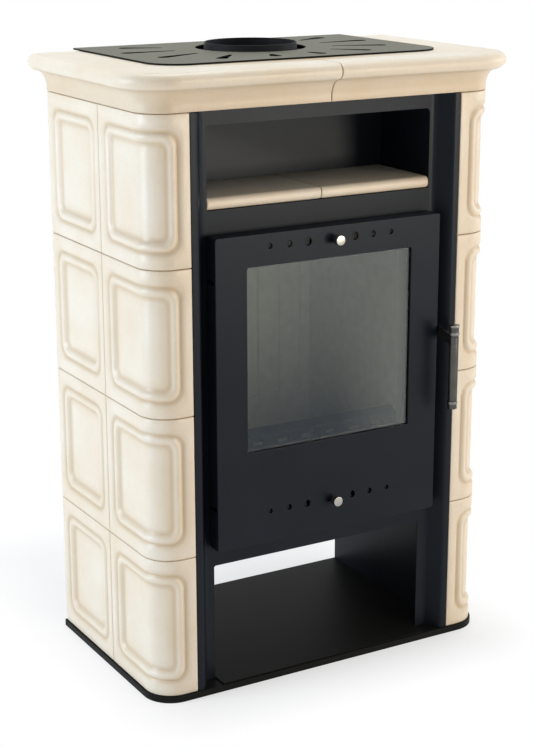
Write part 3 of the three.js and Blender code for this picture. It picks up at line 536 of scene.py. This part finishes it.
# %% The relief, ring by ring
RELIEF = [
    (0.0, 0.0, 1.0, 14.0, 0.2), (0.0, 0.0, 1.0, 1.5, 0.35), (0.45, 0.45, 1.2, 0.45, 0.25),
    (1.6, 1.6, 1.7, 0.0, 0.05), (9.0, 12.0, 14.0, 0.0, 0.0), (14.0, 19.0, 23.0, 0.1, 0.1),
    (17.0, 22.3, 22.0, 1.5, 0.5), (19.5, 25.0, 21.0, 3.0, 0.85), (22.0, 27.5, 19.5, 1.9, 0.5),
    (24.8, 30.0, 18.0, 0.35, 0.05), (27.2, 32.4, 16.8, 0.0, 0.0), (30.0, 35.0, 15.0, 0.5, 0.0),
    (33.0, 38.5, 13.2, 3.0, 0.3), (35.6, 41.2, 11.8, 5.0, 0.7), (38.5, 44.0, 10.5, 5.6, 0.6),
    (43.0, 49.0, 8.5, 5.6, 0.15), (52.0, 58.0, 6.0, 5.3, 0.0),
]
CORNER_STEPS, BEND_STEPS = 8, 14
HALF_WIDTH, DEPTH, CORNER_R = 306.0, 352.0, 45.0  # the jacket, seen in plan
SIDE_JOINT_Y, TILE_INNER = 164.0, 237.2  # where a corner tile ends on the side and in front
JOINT, ROW_PITCH, FIRST_ROW_Z = 1.0, 225.0, 10.9


def tile_path(back, front, turns):
    """The way along a left tile, seen in plan: forwards, and round the corner if it turns."""
    side = back - CORNER_R if turns else back - front
    bend = CORNER_R * math.pi / 2 if turns else 0
    length = side + bend + (HALF_WIDTH - CORNER_R - TILE_INNER if turns else 0)

    def point(along, depth):
        if along <= side or not turns:
            return -HALF_WIDTH + depth, back - along
        if along >= side + bend:
            return -HALF_WIDTH + CORNER_R + along - side - bend, depth
        angle = math.pi + (along - side) / CORNER_R
        radius = CORNER_R - depth
        centre = -HALF_WIDTH + CORNER_R
        return centre + radius * math.cos(angle), CORNER_R + radius * math.sin(angle)

    return point, side, bend, length


def relief_ring(path, height, along, up, radius, depth):
    point, side, bend, length = path
    quarter = [math.pi / 2 * i / CORNER_STEPS for i in range(CORNER_STEPS + 1)]
    near = [(along + radius * (1 - math.cos(a)), up + radius * (1 - math.sin(a))) for a in quarter]
    far = [(length - u, v) for u, v in reversed(near)]
    middle = []
    if bend:
        bend_end = min(side + bend, far[0][0])
        middle = [(side + (bend_end - side) * i / BEND_STEPS, up) for i in range(BEND_STEPS + 1)]
    chain = near + middle + far
    lower = [(*point(u, depth), v) for u, v in chain]
    upper = [(*point(u, depth), height - v) for u, v in chain]
    return lower + upper[::-1]


def tile_skin(path, height):
    rings = [relief_ring(path, height, *row[:4]) for row in RELIEF]
    count = len(rings[0])
    points = [p for ring in rings for p in ring]
    # How dark each ring is: glaze pooling plus painted shade in the grooves.
    pooled_and_shade = [row[4] for row in RELIEF for _ in range(count)]
    faces = ring_faces(len(rings), count)
    for start in (0, (len(rings) - 1) * count):
        for i in range(count // 2 - 1):
            faces.append([start + i, start + i + 1, start + count - 2 - i, start + count - 1 - i])
    return (points, faces), pooled_and_shade


# %% [markdown]
# Behind its face a tile is hollow, with rims that carry it, in bare clay. The sixteen could
# be modelled one by one, but the right-hand tiles are the left-hand ones mirrored and rows
# repeat at the row pitch, so one function builds them all. Each draws a number for its shade.

# %% Build the sixteen tiles
SKIN, RIM, FRONT_RIM = 14.0, 10.0, 45.0
RIM_FACE = SKIN - 1  # the rims reach a millimetre into the skin
KILN_SHIFT, GLAZE_CREASE = 0.25, 50


def tile_rims(height, front, back, turns):
    out, low, high = -HALF_WIDTH + RIM_FACE, RIM, height - RIM
    if turns:
        face = RIM_FACE
        near_end = (-TILE_INNER - RIM, -TILE_INNER, face, FRONT_RIM)
        turn = arc(-HALF_WIDTH + CORNER_R, CORNER_R, CORNER_R - face, 180, 270, CORNER_STEPS)
    else:
        face = front
        near_end = (out, -TILE_INNER, front, front + RIM)
        turn = [(out, face)]
    outline = [(out, back), *turn, (-TILE_INNER, face), (-TILE_INNER, back)]
    return merged(
        plate(outline, [], 0, low, "top", 0),
        plate(outline, [], high, height, "top", 0),
        slab(out, -TILE_INNER, back - RIM, back, low, high),
        slab(*near_end, low, high),
    )


def set_attribute(mesh, name, values):
    layer = mesh.attributes.new(name, "FLOAT", "POINT")
    layer.data.foreach_set("value", values)


def build_tile(name, turns, side, z):
    height, half_joint = ROW_PITCH - JOINT, JOINT / 2
    front, back = (0.0, SIDE_JOINT_Y - half_joint) if turns else (SIDE_JOINT_Y + half_joint, DEPTH)
    skin, pooled_and_shade = tile_skin(tile_path(back, front, turns), height)
    rims = tile_rims(height, front, back, turns)
    points, faces = merged(skin, rims)
    points = [(side * x, y, z + up) for x, y, up in points]
    made = make(name + "_glazed", (points, faces), glaze, GLAZE_CREASE)
    made.data.materials.append(bare_clay)
    for polygon in made.data.polygons[len(skin[1]):]:
        polygon.material_index = 1
    set_attribute(made.data, "pooled_and_shade", pooled_and_shade + [0.0] * len(rims[0]))
    set_attribute(made.data, "kiln", [kiln.uniform(0.0, KILN_SHIFT)] * len(points))
    stands_for(made, name)


kiln = random.Random(7)
for place, turns in (("front", True), ("rear", False)):
    for side_name, side in (("left", 1), ("right", -1)):
        for row in range(4):
            z = FIRST_ROW_Z + row * ROW_PITCH
            build_tile(f"tile_{side_name}_{place}_{row + 1}", turns, side, z)

# %% [markdown]
# ## The cornice
# The crown is moulded in two halves that meet in the middle of the front. Its section is a
# low flat, a cove that sweeps outwards and a fat half-round. A curve could carry it round the
# corner; placing it at chosen stations also gives the halves a rounded edge where they meet.

# %% Sweep the cornice
CORNICE_Z0, CORNICE_Z1 = 910.9, 969.5
FLAT_UP, COVE_OUT, COVE_UP = 8.0, 20.0, 25.5
ROUND_R, ROUND_OUT, TOP_OUT = 12.2, 18.2, 14.0  # the fat half-round, and where the top begins
ROUND_TURN, ROUND_FROM = 0.97, 0.47  # its sweep and its start below level, in half turns
SHELF_T, SHELF_START, SHELF_IN = 14.0, 30.0, 75.0
CORNICE_STEPS, COVE_STEPS, ROUND_STEPS = 24, 12, 18
JOINT_ROUND = ((2.4, 0.0), (1.0, 0.0), (0.3, 0.3), (0.0, 1.0))  # the halves' rounded meeting edge
POOLED_FROM = -JOINT / 2 - 0.5  # glaze gathers on the meeting edge
COVE_SHADE_BELOW = 36.0  # the cove and the flat below this height get painted shade
CORNICE_KILN = 0.15


def cornice_section():
    high = CORNICE_Z1 - CORNICE_Z0
    section = [(-SKIN, 0.0), (-1.2, 0.0), (-0.35, 0.35), (0.0, 1.2), (0.0, FLAT_UP)]
    for i in range(1, COVE_STEPS + 1):
        angle = math.pi / 2 * i / COVE_STEPS
        section.append((COVE_OUT * (1 - math.cos(angle)), FLAT_UP + COVE_UP * math.sin(angle)))
    for i in range(1, ROUND_STEPS + 1):
        angle = math.pi * (i / ROUND_STEPS * ROUND_TURN - ROUND_FROM)
        up = high - ROUND_R + ROUND_R * math.sin(angle)
        section.append((ROUND_OUT + ROUND_R * math.cos(angle), up))
    inner = -SHELF_START
    return section + [
        (TOP_OUT, high), (inner, high), (inner, high - SHELF_T), (-SKIN, high - SHELF_T)]


def cornice_half():
    section = cornice_section()
    centre = -HALF_WIDTH + CORNER_R
    stations = [lambda out: (-HALF_WIDTH - out, DEPTH)]
    for i in range(CORNICE_STEPS + 1):
        angle = math.pi + math.pi / 2 * i / CORNICE_STEPS
        stations.append(lambda out, a=angle: (
            centre + (CORNER_R + out) * math.cos(a), CORNER_R + (CORNER_R + out) * math.sin(a)))
    for from_joint, sunk in JOINT_ROUND:
        stations.append(lambda out, gap=from_joint, sunk=sunk: (
            -JOINT / 2 - gap, -out + (sunk if out > -1 else 0)))
    points = [(*station(out), CORNICE_Z0 + up) for station in stations for out, up in section]
    count = len(section)
    faces = ring_faces(len(stations), count)
    ends = tessellate_polygon([[Vector((u, v, 0)) for u, v in section]])
    last = (len(stations) - 1) * count
    faces += [list(t) for t in ends] + [[i + last for i in t] for t in ends]
    return points, faces


shelf_edge = [(-HALF_WIDTH + SHELF_START, DEPTH)]
shelf_edge += arc(-HALF_WIDTH + CORNER_R, CORNER_R, CORNER_R - SHELF_START, 180, 270, CORNICE_STEPS)
shelf_edge += [
    (-JOINT / 2, SHELF_START), (-JOINT / 2, SHELF_IN), (-HALF_WIDTH + SHELF_IN, SHELF_IN),
    (-HALF_WIDTH + SHELF_IN, DEPTH),
]
points, faces = merged(
    cornice_half(), plate(shelf_edge, [], CORNICE_Z1 - SHELF_T, CORNICE_Z1, "top", 0))
# The meeting edge is a dark joint; the cove and the flat below it get painted shade.
pooled_and_shade = [
    1.0 if x > POOLED_FROM else 0.5 if z < CORNICE_Z0 + COVE_SHADE_BELOW else 0.0
    for x, _, z in points
]
for side_name, side in (("left", 1), ("right", -1)):
    shell = [(side * x, y, z) for x, y, z in points], faces
    made = make(f"cornice_{side_name}_glazed", shell, glaze, GLAZE_CREASE)
    set_attribute(made.data, "pooled_and_shade", pooled_and_shade)
    set_attribute(made.data, "kiln", [CORNICE_KILN] * len(points))
    stands_for(made, f"cornice_{side_name}")
print("cornice section:", len(cornice_section()), "points")

# %% [markdown]
# ## Plain sheet, brick and castings
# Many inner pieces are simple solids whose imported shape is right. They could be drawn again,
# but a copy with a small bevel on its sharp edges is enough: each edge then catches light as
# real sheet and brick do.

# %% Soften the edges of plain pieces
SOFT_CREASE = 40.0


def packed_mesh(node, name):
    """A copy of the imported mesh, open for editing, with its facets joined into whole faces."""
    mesh = frame["nodes"][node].data.copy()
    mesh.name = name
    bm = bmesh.new()
    bm.from_mesh(mesh)
    bmesh.ops.remove_doubles(bm, verts=bm.verts, dist=1e-6)
    bmesh.ops.dissolve_limit(bm, angle_limit=math.radians(1), verts=bm.verts, edges=bm.edges)
    return mesh, bm


def write_back(mesh, bm, material):
    bm.to_mesh(mesh)
    bm.free()
    mesh.materials.clear()
    mesh.materials.append(material)


def softened(node, material, edge):
    mesh, bm = packed_mesh(node, node + "_soft")
    write_back(mesh, bm, material)
    shade(mesh, SOFT_CREASE)
    made = in_scene(node + "_soft", mesh)
    bevel = made.modifiers.new("edges", "BEVEL")
    bevel.width = edge * MM
    bevel.segments = 2
    bevel.limit_method = "ANGLE"
    bevel.angle_limit = math.radians(SOFT_CREASE)
    bevel.harden_normals = True
    stands_for(made, node)


PLAIN = {
    "base_plate": (base_paint, 0.8), "front_frame": (steel_paint, 0.5),
    "niche_box": (steel_paint, 0.4), "rear_panel": (steel_paint, 0.3),
    "bay_floor": (base_paint, 0.3), "hearth_plate": (cast_iron, 0.8), "grate": (cast_iron, 0.8),
    "lining_brick_left": (fire_brick, 1.2), "lining_brick_right": (fire_brick, 1.2),
    "lining_brick_back": (fire_brick, 1.0), "hearth_brick_left": (fire_brick, 1.2),
    "hearth_brick_right": (fire_brick, 1.2), "hearth_brick_front": (fire_brick, 1.2),
    "hearth_brick_back": (fire_brick, 1.2), "baffle_plate": (fire_brick, 1.2),
    "ash_pan": (zinc_steel, 0.3), "latch_keeper": (dark_steel, 0.3),
    "shelf_tile_left": (glaze, 2.0), "shelf_tile_right": (glaze, 2.0),
}
for node, (material, edge) in PLAIN.items():
    softened(node, material, edge)

# %% [markdown]
# Seven pieces are thin folded sheet, the pane, or hardly seen. They could be softened too, but
# a bevel would gain nothing there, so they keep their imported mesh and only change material.

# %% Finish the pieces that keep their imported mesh
KEPT = {
    "side_liner_left": steel_paint, "side_liner_right": steel_paint,
    "bay_ceiling": steel_paint, "firebox_body": steel_paint,
    "hinge_bracket_lower": steel_paint, "hinge_bracket_upper": steel_paint,
    "door_glass": stove_glass,
}
for node, material in KEPT.items():
    frame["nodes"][node].material_slots[0].material = material
print("softened:", len(PLAIN), "kept:", len(KEPT))

# %% [markdown]
# The shield at the back is held by two rows of domed screws. Their heads could be raised from
# the sheet's own mesh; turned one by one and joined in one object they leave the sheet plain.

# %% Screws in the heat shield
SHIELD_BACK, SCREW_X, SCREW_ROWS = 372.0, 215.0, (240, 475, 710, 940)
dome = rounded([(0, 0.3), (4.4, 0.3), (4.4, -0.5), (3.0, -1.7), (0, -1.9)], [0, 0, 0.3, 0.8, 0])
heads = [
    turned(dome, 24, "front", (side * SCREW_X, SHIELD_BACK, z))
    for side in (-1, 1) for z in SCREW_ROWS
]
screws = make("shield_screws", merged(*heads), zinc_steel)
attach(screws, "stove_body")
print("screws:", len(heads))

# %% [markdown]
# ## The cover plate and the flue
# The cover is one sheet with leaf-shaped slots fanned round the flue, cut so that warm air
# can rise. They could be cut with booleans; as outlines within the sheet's outline they share
# its rounded edges. Each pair of slots is given by its angle from the front and by how far
# from the flue's middle it starts and ends.

# %% Cover plate
FLUE_Y, FLUE_R, FLUE_INSIDE, COVER_HOLE_R = 244.5, 75.0, 71.5, 88.0
COVER_HALF, COVER_FRONT, COVER_BACK = 250.5, 60.0, 375.0
COVER_CORNERS = (52, 52, 5, 5)
PLATE_Z0, PLATE_Z1 = 969.9, 972.4
SLOTS = [(15, 125, 163), (42.5, 132, 198), (67.5, 132, 220), (92, 132, 223), (115, 140, 209)]


def leaf(angle, start, end):
    """A slot that is narrow by the flue and wide at its outer end."""
    narrow, wide = 3.0, 9.0
    lean = math.degrees(math.acos((wide - narrow) / (end - start - wide - narrow)))
    outline = arc(end - wide, 0, wide, -180 + lean, 180 - lean, 14)
    outline += arc(start + narrow, 0, narrow, 180 - lean, 180 + lean, 8)
    c, s = math.cos(angle), math.sin(angle)
    return [(x * c - y * s, FLUE_Y + x * s + y * c) for x, y in outline]


leaves = [
    leaf(math.radians(-90 + side * degrees), start, end)
    for degrees, start, end in SLOTS for side in (-1, 1)
]
cover_outline = rounded_rect(
    -COVER_HALF, COVER_HALF, COVER_FRONT, COVER_BACK, COVER_CORNERS, 16)
cover_holes = [circle(0, FLUE_Y, COVER_HOLE_R, 96), *leaves]
cover = plate(cover_outline, cover_holes, PLATE_Z0, PLATE_Z1, "top", 0.5)
cut_cover = make("cover_plate_cut", cover, cover_paint)
cut_cover.data.materials.append(painted_shade_edge)
# Every face that is not flat on top, the slot walls above all, takes the painted shade.
for polygon in cut_cover.data.polygons:
    polygon.material_index = 0 if abs(polygon.normal.z) > 0.9 else 1
stands_for(cut_cover, "top_plate")
print("slots in the cover:", len(leaves))

# %% [markdown]
# The collar is a turned ring that the stove pipe slides over, and the duct below it is rolled
# sheet. Both could be tubes thickened by a modifier, but a closed profile gives the flange,
# its rounded shoulder and the slight taper in one go.

# %% Collar and smoke duct
COLLAR_FOOT, COLLAR_TOP, FLANGE_R, FLANGE_T, TAPER = 962, 981, 96, 3, 1.6
shoulder = COLLAR_FOOT + FLANGE_T
collar_line = rounded([
    (FLUE_INSIDE, COLLAR_FOOT), (FLANGE_R, COLLAR_FOOT), (FLANGE_R, shoulder), (FLUE_R, shoulder),
    (FLUE_R - TAPER, COLLAR_TOP), (FLUE_INSIDE, COLLAR_TOP), (FLUE_INSIDE, COLLAR_FOOT),
], [0, 0.8, 0.8, 2.0, 0.7, 0.6, 0])
collar = turned(collar_line, 128, "up", (0, FLUE_Y, 0))
stands_for(make("flue_collar_turned", collar, cast_iron), "flue_collar")

DUCT_Z0, DUCT_Z1 = 745.4, 961.6
duct_line = [
    (FLUE_INSIDE, DUCT_Z0), (FLUE_R, DUCT_Z0), (FLUE_R, DUCT_Z1), (FLUE_INSIDE, DUCT_Z1),
    (FLUE_INSIDE, DUCT_Z0),
]
duct = turned(duct_line, 96, "up", (0, FLUE_Y, 0))
stands_for(make("smoke_duct_rolled", duct, steel_paint), "smoke_duct")
print("collar height:", COLLAR_TOP - COLLAR_FOOT)

# %% [markdown]
# ## The door
# The door is a shallow steel tray. Its skin carries the window, two rows of air holes that get
# smaller outwards, and a short slot for each control knob. It could keep its packed face, but
# as one more plate it has a rounded edge round every hole.

# %% Skin of the door
DOOR_HALF, DOOR_Z0, DOOR_Z1, DOOR_FRONT = 200.5, 235.0, 725.0, -3.0
WINDOW = (-147, 147, 387, 676)
AIR_ROWS = {"upper": 705.0, "lower": 286.5}
AIR_HOLES = [(41.5, 6.2), (74.5, 5.0), (108.0, 4.0)]  # how far out, and radius
KNOB_X = 5.0
SLOT_LEFT, SLOT_RIGHT, SLOT_HALF = 10.5, 9.5, 3.5  # from the knob's middle


def air_holes(z, shift=0.0):
    return [circle(side * x + shift, z, radius, 28) for x, radius in AIR_HOLES for side in (-1, 1)]


def knob_slot(z):
    return rounded_rect(
        KNOB_X - SLOT_LEFT, KNOB_X + SLOT_RIGHT, z - SLOT_HALF, z + SLOT_HALF, 3.4, 6)


openings = [rounded_rect(*WINDOW, 2.0, 4)]
for z in AIR_ROWS.values():
    openings += air_holes(z) + [knob_slot(z)]
door_outline = rounded_rect(-DOOR_HALF, DOOR_HALF, DOOR_Z0, DOOR_Z1, 4.0, 6)
door_plate = plate(door_outline, openings, DOOR_FRONT, 0.0, "front", 0.9, 0)
stands_for(make("door_skin", door_plate, steel_paint), "door_shell")
print("door openings:", len(openings))

# %% [markdown]
# The tray could be drawn anew as well, but its walls, ears and notches have to clear the
# hinges and the lever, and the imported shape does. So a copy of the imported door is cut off
# just behind the new skin, and the two never lie in one plane.

# %% Tray of the door
TRAY_FRONT, TRAY_CREASE = 0.01, 35  # the cut lies a hair behind the skin

tray_mesh, bm = packed_mesh("door_shell", "door_tray")
everything = bm.verts[:] + bm.edges[:] + bm.faces[:]
bmesh.ops.bisect_plane(
    bm, geom=everything, plane_co=at(0, TRAY_FRONT, 0), plane_no=(0, 1, 0), clear_inner=True)
bmesh.ops.holes_fill(bm, edges=[edge for edge in bm.edges if edge.is_boundary])
write_back(tray_mesh, bm, steel_paint)
clean_mesh(tray_mesh, TRAY_CREASE)
tray = in_scene("door_tray", tray_mesh)
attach(tray, "door")
print("tray faces:", len(tray_mesh.polygons))

# %% [markdown]
# Behind the glass a dark frame holds it in, and a knitted rope seals the door. Its strands
# could be knitted one by one, but hardly any of it is seen: a round section, a little
# flattened, is run round the doorway as one closed ring.

# %% Glass frame and rope
frame_outer = rounded_rect(-156, 156, 378, 685, 4.0)
frame_inner = rounded_rect(-144, 144, 390, 673, 4.0)
glass_frame = plate(frame_outer, [frame_inner], 5, 8, "front", 0.6)
stands_for(make("glass_frame", glass_frame, dark_steel), "glass_retainer")

ROPE_AROUND = 12


def rope_ring(half, z0, z1, y, width, depth):
    middle = rounded_rect(-half, half, z0, z1, 12, 8)
    points, faces = [], []
    count = len(middle)
    for k in range(ROPE_AROUND):
        angle = 2 * math.pi * k / ROPE_AROUND
        shifted = drawn_in(middle, math.cos(angle) * width / 2)
        points += [(x, y + math.sin(angle) * depth / 2, z) for x, z in shifted]
        a, b = k * count, ((k + 1) % ROPE_AROUND) * count
        for i in range(count):
            j = (i + 1) % count
            faces.append([a + i, a + j, b + j, b + i])
    return points, faces


stands_for(make("seal_rope", rope_ring(162.5, 241.5, 718.5, 24.5, 8.0, 4.2), rope), "door_seal")

# %% [markdown]
# ## Air slides and knobs
# Two sliding strips open and close the rows of holes. Each is moved by a bright turned knob on
# a thin neck, which passes through the slot in the door. The holes could be painted dark, but
# real ones in both sheets open and close as the knob moves.

# %% Slides and knobs
STRIP_HALF, STRIP_UP, STRIP_Y = 124, 11, (0.5, 2.3)
HOLE_SHIFT = 7.0  # how far the strip's holes stand from the door's, half closing them
KNOB_LINE = rounded([
    (0, -0.1), (3, -0.1), (3, 3.4), (4.8, 3.4), (4.8, 11), (7.2, 11.4), (7.8, 12.4), (7.8, 22),
    (0, 22),
], [0, 0, 0.4, 0.5, 0.4, 0.4, 0.5, 0.9, 0])

for row, z in AIR_ROWS.items():
    strip = rounded_rect(-STRIP_HALF, STRIP_HALF, z - STRIP_UP, z + STRIP_UP, 3.0)
    slide = plate(strip, air_holes(z, HOLE_SHIFT), *STRIP_Y, "front", 0.25)
    stands_for(make(f"air_strip_{row}", slide, steel_paint), f"air_slide_{row}")
    knob = turned(KNOB_LINE, 48, "front", (KNOB_X, 0, z))
    stands_for(make(f"knob_{row}", knob, bright_steel), f"air_knob_{row}")

# %% [markdown]
# ## The handle
# A flat lever turns on a pin in the door's side and carries the grip. It could be bent from a
# bar, but its side view says it all, so it is cut as one more plate, with smooth bends
# between a few corner points. Its cut edges get a brighter steel than its faces, as a painted
# highlight.

# %% Lever and pin
LEVER_Y, LEVER_Z, LEVER_X0, LEVER_X1 = 6.5, 537.0, 202.0, 206.0
GRIP_X, GRIP_Y, GRIP_Z0, GRIP_Z1, GRIP_R = 204.0, -44.0, 415.0, 553.0, 7.6


def curve(start, control, end, steps=8):
    """Points along a bend that leaves start and meets end heading for the control point."""
    points = []
    for t in (i / steps for i in range(1, steps + 1)):
        weights = (1 - t) ** 2, 2 * t * (1 - t), t * t
        points.append(tuple(
            weights[0] * s + weights[1] * c + weights[2] * e
            for s, c, e in zip(start, control, end)))
    return points


y, z = LEVER_Y, LEVER_Z
grip_side = GRIP_Y + GRIP_R + 0.4
lever_outline = [(grip_side, 518), (y - 9, 526)]
lever_outline += curve((y - 9, 526), (y, 528.5), (y + 5, z - 6))
lever_outline += [(y + 14.8, z - 5), (y + 14.8, z + 4.6), (y + 12, z + 4.6)]
lever_outline += [(y + 11.2, z + 0.5), (y + 8, z + 1)]
lever_outline += curve((y + 8, z + 1), (y + 6, z + 8), (y - 6, z + 7))
lever_outline += [(grip_side, 534.5)]
lever = plate(lever_outline, [circle(y, z, 4.2, 28)], LEVER_X0, LEVER_X1, "side", 0.5)
cut_lever = make("lever_cut", lever, dark_steel)
cut_lever.data.materials.append(highlight_steel)
# The cut edges take the brighter steel: a painted highlight.
for polygon in cut_lever.data.polygons:
    polygon.material_index = 1 if abs(polygon.normal.x) < 0.3 else 0
stands_for(cut_lever, "handle_lever")

pin_low, pin_high = DOOR_HALF - 9, LEVER_X1 + 2.5
pin_neck = pin_low + 3
pin_line = rounded(
    [(0, pin_low), (6, pin_low), (6, pin_neck), (3.8, pin_neck), (3.8, pin_high), (0, pin_high)],
    [0, 0.4, 0.4, 0.2, 1.2, 0])
pin = turned(pin_line, 40, "side", (0, LEVER_Y, LEVER_Z))
stands_for(make("lever_pin", pin, bright_steel), "handle_pin")
print("lever outline:", len(lever_outline), "points")

# %% [markdown]
# The grip is a round bar that stands upright beside the door. Its rings could be separate
# hoops, but on the real one they are turned from the same bar. So they are steps in one
# profile, and the faces that stand out furthest get a brighter steel, a painted highlight.

# %% Grip
R, RING, GROOVE = GRIP_R, GRIP_R + 0.9, GRIP_R - 0.8
foot, head = GRIP_Z0, GRIP_Z1
grip_points = [
    (0, foot), (R, foot), (R, foot + 8), (RING, foot + 8.6), (RING, foot + 12.4),
    (GROOVE, foot + 13), (GROOVE, foot + 14.2), (R, foot + 14.8), (R, head - 18.8),
    (GROOVE, head - 18.2), (GROOVE, head - 17), (RING, head - 16.4), (RING, head - 12.6),
    (R, head - 12), (R, head - 4), (RING, head - 3.6), (RING, head), (0, head),
]
grip_radii = [0, 1.4, 0.3, 0.5, 0.5, 0, 0, 0.2, 0.2, 0, 0, 0.5, 0.5, 0.3, 0.3, 0.5, 1.0, 0]
grip = turned(rounded(grip_points, grip_radii), 56, "up", (GRIP_X, GRIP_Y, 0))
turned_grip = make("grip_turned", grip, grip_steel)
turned_grip.data.materials.append(highlight_steel)
# Faces that stand out furthest take the brighter steel: a painted highlight.
for polygon in turned_grip.data.polygons:
    x, y, _ = polygon.center / MM
    from_axis = math.hypot(x - GRIP_X, y + MIDDLE_Y - GRIP_Y)
    polygon.material_index = 1 if from_axis > R + 0.3 else 0
stands_for(turned_grip, "handle_grip")
print("grip length:", GRIP_Z1 - GRIP_Z0)

# %% [markdown]
# On the other side the door hangs on two headed pins, which drop into its ears from above.
# Plain cylinders could stand in for them, but a profile costs as little and keeps the heads.

# %% Hinge pins
HINGE_X, HINGE_Y, PIN_R, HEAD_R, HEAD_T = -190, 6, 3, 4.8, 2.5
for name, z in (("lower", 303.0), ("upper", 657.0)):
    low, high = z - 13, z + 10.4
    top = high + HEAD_T
    line = rounded(
        [(0, low), (PIN_R, low), (PIN_R, high), (HEAD_R, high), (HEAD_R, top), (0, top)],
        [0, 0.5, 0, 0.4, 0.8, 0])
    hinge = turned(line, 32, "up", (HINGE_X, HINGE_Y, 0))
    stands_for(make(f"hinge_pin_{name}_turned", hinge, dark_steel), f"hinge_pin_{name}")

# %% [markdown]
# ## The log guard
# A folded strip keeps the logs off the glass. It has a row of air slots and a lip that leans
# back into the fire. It could stay as packed, but with a small bevel the edges of its slots
# show through the glass as light marks.

# %% Log guard
softened("log_guard", dark_steel, 0.4)
made_here = [o.name for o in bpy.data.objects if o.type == "MESH" and o.name not in frame["nodes"]]
print("meshes made:", len(made_here))

# %% [markdown]
# ## Room and light
# The stove stands on a white floor in a white room. The floor could be lit until it is white,
# but then the stove would be too bright. So away from the stove it is white by itself, to the
# camera and in reflections, and close to it a part is plain paint, which takes the shadow.

# %% Floor
def seen_rays(tree):
    path = tree.nodes.new("ShaderNodeLightPath")
    total = path.outputs["Is Camera Ray"]
    for name in ("Is Glossy Ray", "Is Transmission Ray"):
        node = tree.nodes.new("ShaderNodeMath")
        node.operation = "ADD"
        node.use_clamp = True
        tree.links.new(total, node.inputs[0])
        tree.links.new(path.outputs[name], node.inputs[1])
        total = node.outputs[0]
    return total


FLOOR_REACH, FLOOR_WHITE = 14.0, 0.9
FLOOR_SHARE = 0.55  # how much of the floor glows beside the stove
FLOOR_BACK = 0.15  # the shadow lies further out behind the stove than in front
FOOTPRINT = (0.246, 0.178 + FLOOR_BACK, 0)  # half the width and depth the shadow starts from
SHADOW_REACH = 0.14
WORLD_LEVEL = 0.27  # how strongly the room lights matt surfaces

corners = [(x * FLOOR_REACH, y * FLOOR_REACH, 0) for x, y in ((-1, -1), (1, -1), (1, 1), (-1, 1))]
floor_mesh = bpy.data.meshes.new("floor")
floor_mesh.from_pydata(corners, [], [(0, 1, 2, 3)])
floor = in_scene("floor", floor_mesh)
floor.location = (0, FLOOR_BACK, 0)
floor_paint, tree, shader = blank_material("floor_paint")
tree.nodes.remove(shader)
matt = tree.nodes.new("ShaderNodeBsdfDiffuse")
matt.inputs["Color"].default_value = (FLOOR_WHITE,) * 3 + (1,)
glow = tree.nodes.new("ShaderNodeEmission")
glow.inputs["Strength"].default_value = 1.0
away = tree.nodes.new("ShaderNodeTexCoord").outputs["Object"]
steps_away = (
    ("ABSOLUTE", None), ("SUBTRACT", FOOTPRINT), ("MAXIMUM", (0, 0, 0)), ("LENGTH", None))
for operation, vector in steps_away:
    step = tree.nodes.new("ShaderNodeVectorMath")
    step.operation = operation
    tree.links.new(away, step.inputs[0])
    if vector:
        step.inputs[1].default_value = vector
    away = step.outputs["Value" if operation == "LENGTH" else "Vector"]
share = tree.nodes.new("ShaderNodeMath")
share.operation = "MULTIPLY"
tree.links.new(span(tree, away, 0.0, SHADOW_REACH, FLOOR_SHARE, 1.0), share.inputs[1])
tree.links.new(seen_rays(tree), share.inputs[0])
blend = tree.nodes.new("ShaderNodeMixShader")
tree.links.new(share.outputs[0], blend.inputs["Fac"])
tree.links.new(matt.outputs[0], blend.inputs[1])
tree.links.new(glow.outputs[0], blend.inputs[2])
tree.links.new(blend.outputs[0], tree.nodes["Material Output"].inputs["Surface"])
floor.data.materials.append(floor_paint)

# %% [markdown]
# The room itself is the world's white. It could be one strength for everything, but seen
# directly and in reflections it has to be white, while on matt surfaces it should hardly fill
# the shadows. So its strength depends on the kind of ray.

# %% World
world = bpy.data.worlds.new("room")
world.use_nodes = True
scene.world = world
tree = world.node_tree
level = span(tree, seen_rays(tree), 0.0, 1.0, WORLD_LEVEL, 1.0)
tree.links.new(level, tree.nodes["Background"].inputs["Strength"])
tree.nodes["Background"].inputs["Color"].default_value = (1, 1, 1, 1)

# %% [markdown]
# A tall cool lamp on the left lights the tiled side and draws a long sheen down the rounded
# corner. A smaller warm one at the front, low and to the right, gives the knobs and the grip
# their shadows, a wide one overhead fills the top, and a faint one keeps the right side open.
# One sun could light it all, but its hard shadows would bury the soft relief of the tiles.

# %% Lamps
def lamp(name, place, target, width, height, watts, colour):
    light = bpy.data.lights.new(name, "AREA")
    light.shape = "RECTANGLE"
    light.size = width
    light.size_y = height
    light.energy = watts
    light.color = colour
    holder = in_scene(name, light)
    holder.location = place
    holder.rotation_euler = (Vector(target) - Vector(place)).to_track_quat("-Z", "Y").to_euler()


lamp("side_lamp", (-3.1, 0.5, 1.0), (0, 0, 0.6), 1.1, 1.9, 76, (0.79, 0.88, 1.0))
lamp("front_lamp", (1.6, -3.2, 0.7), (0, 0, 0.5), 0.9, 0.9, 49, (1.0, 0.84, 0.67))
lamp("top_lamp", (0.2, 0.4, 3.4), (0, 0, 0.5), 2.0, 2.0, 60, (0.9, 0.96, 1.0))
lamp("right_fill", (2.8, -0.9, 1.2), (0, 0, 0.5), 1.4, 1.4, 26, (0.92, 0.96, 1.0))
scene.view_settings.view_transform = "Standard"
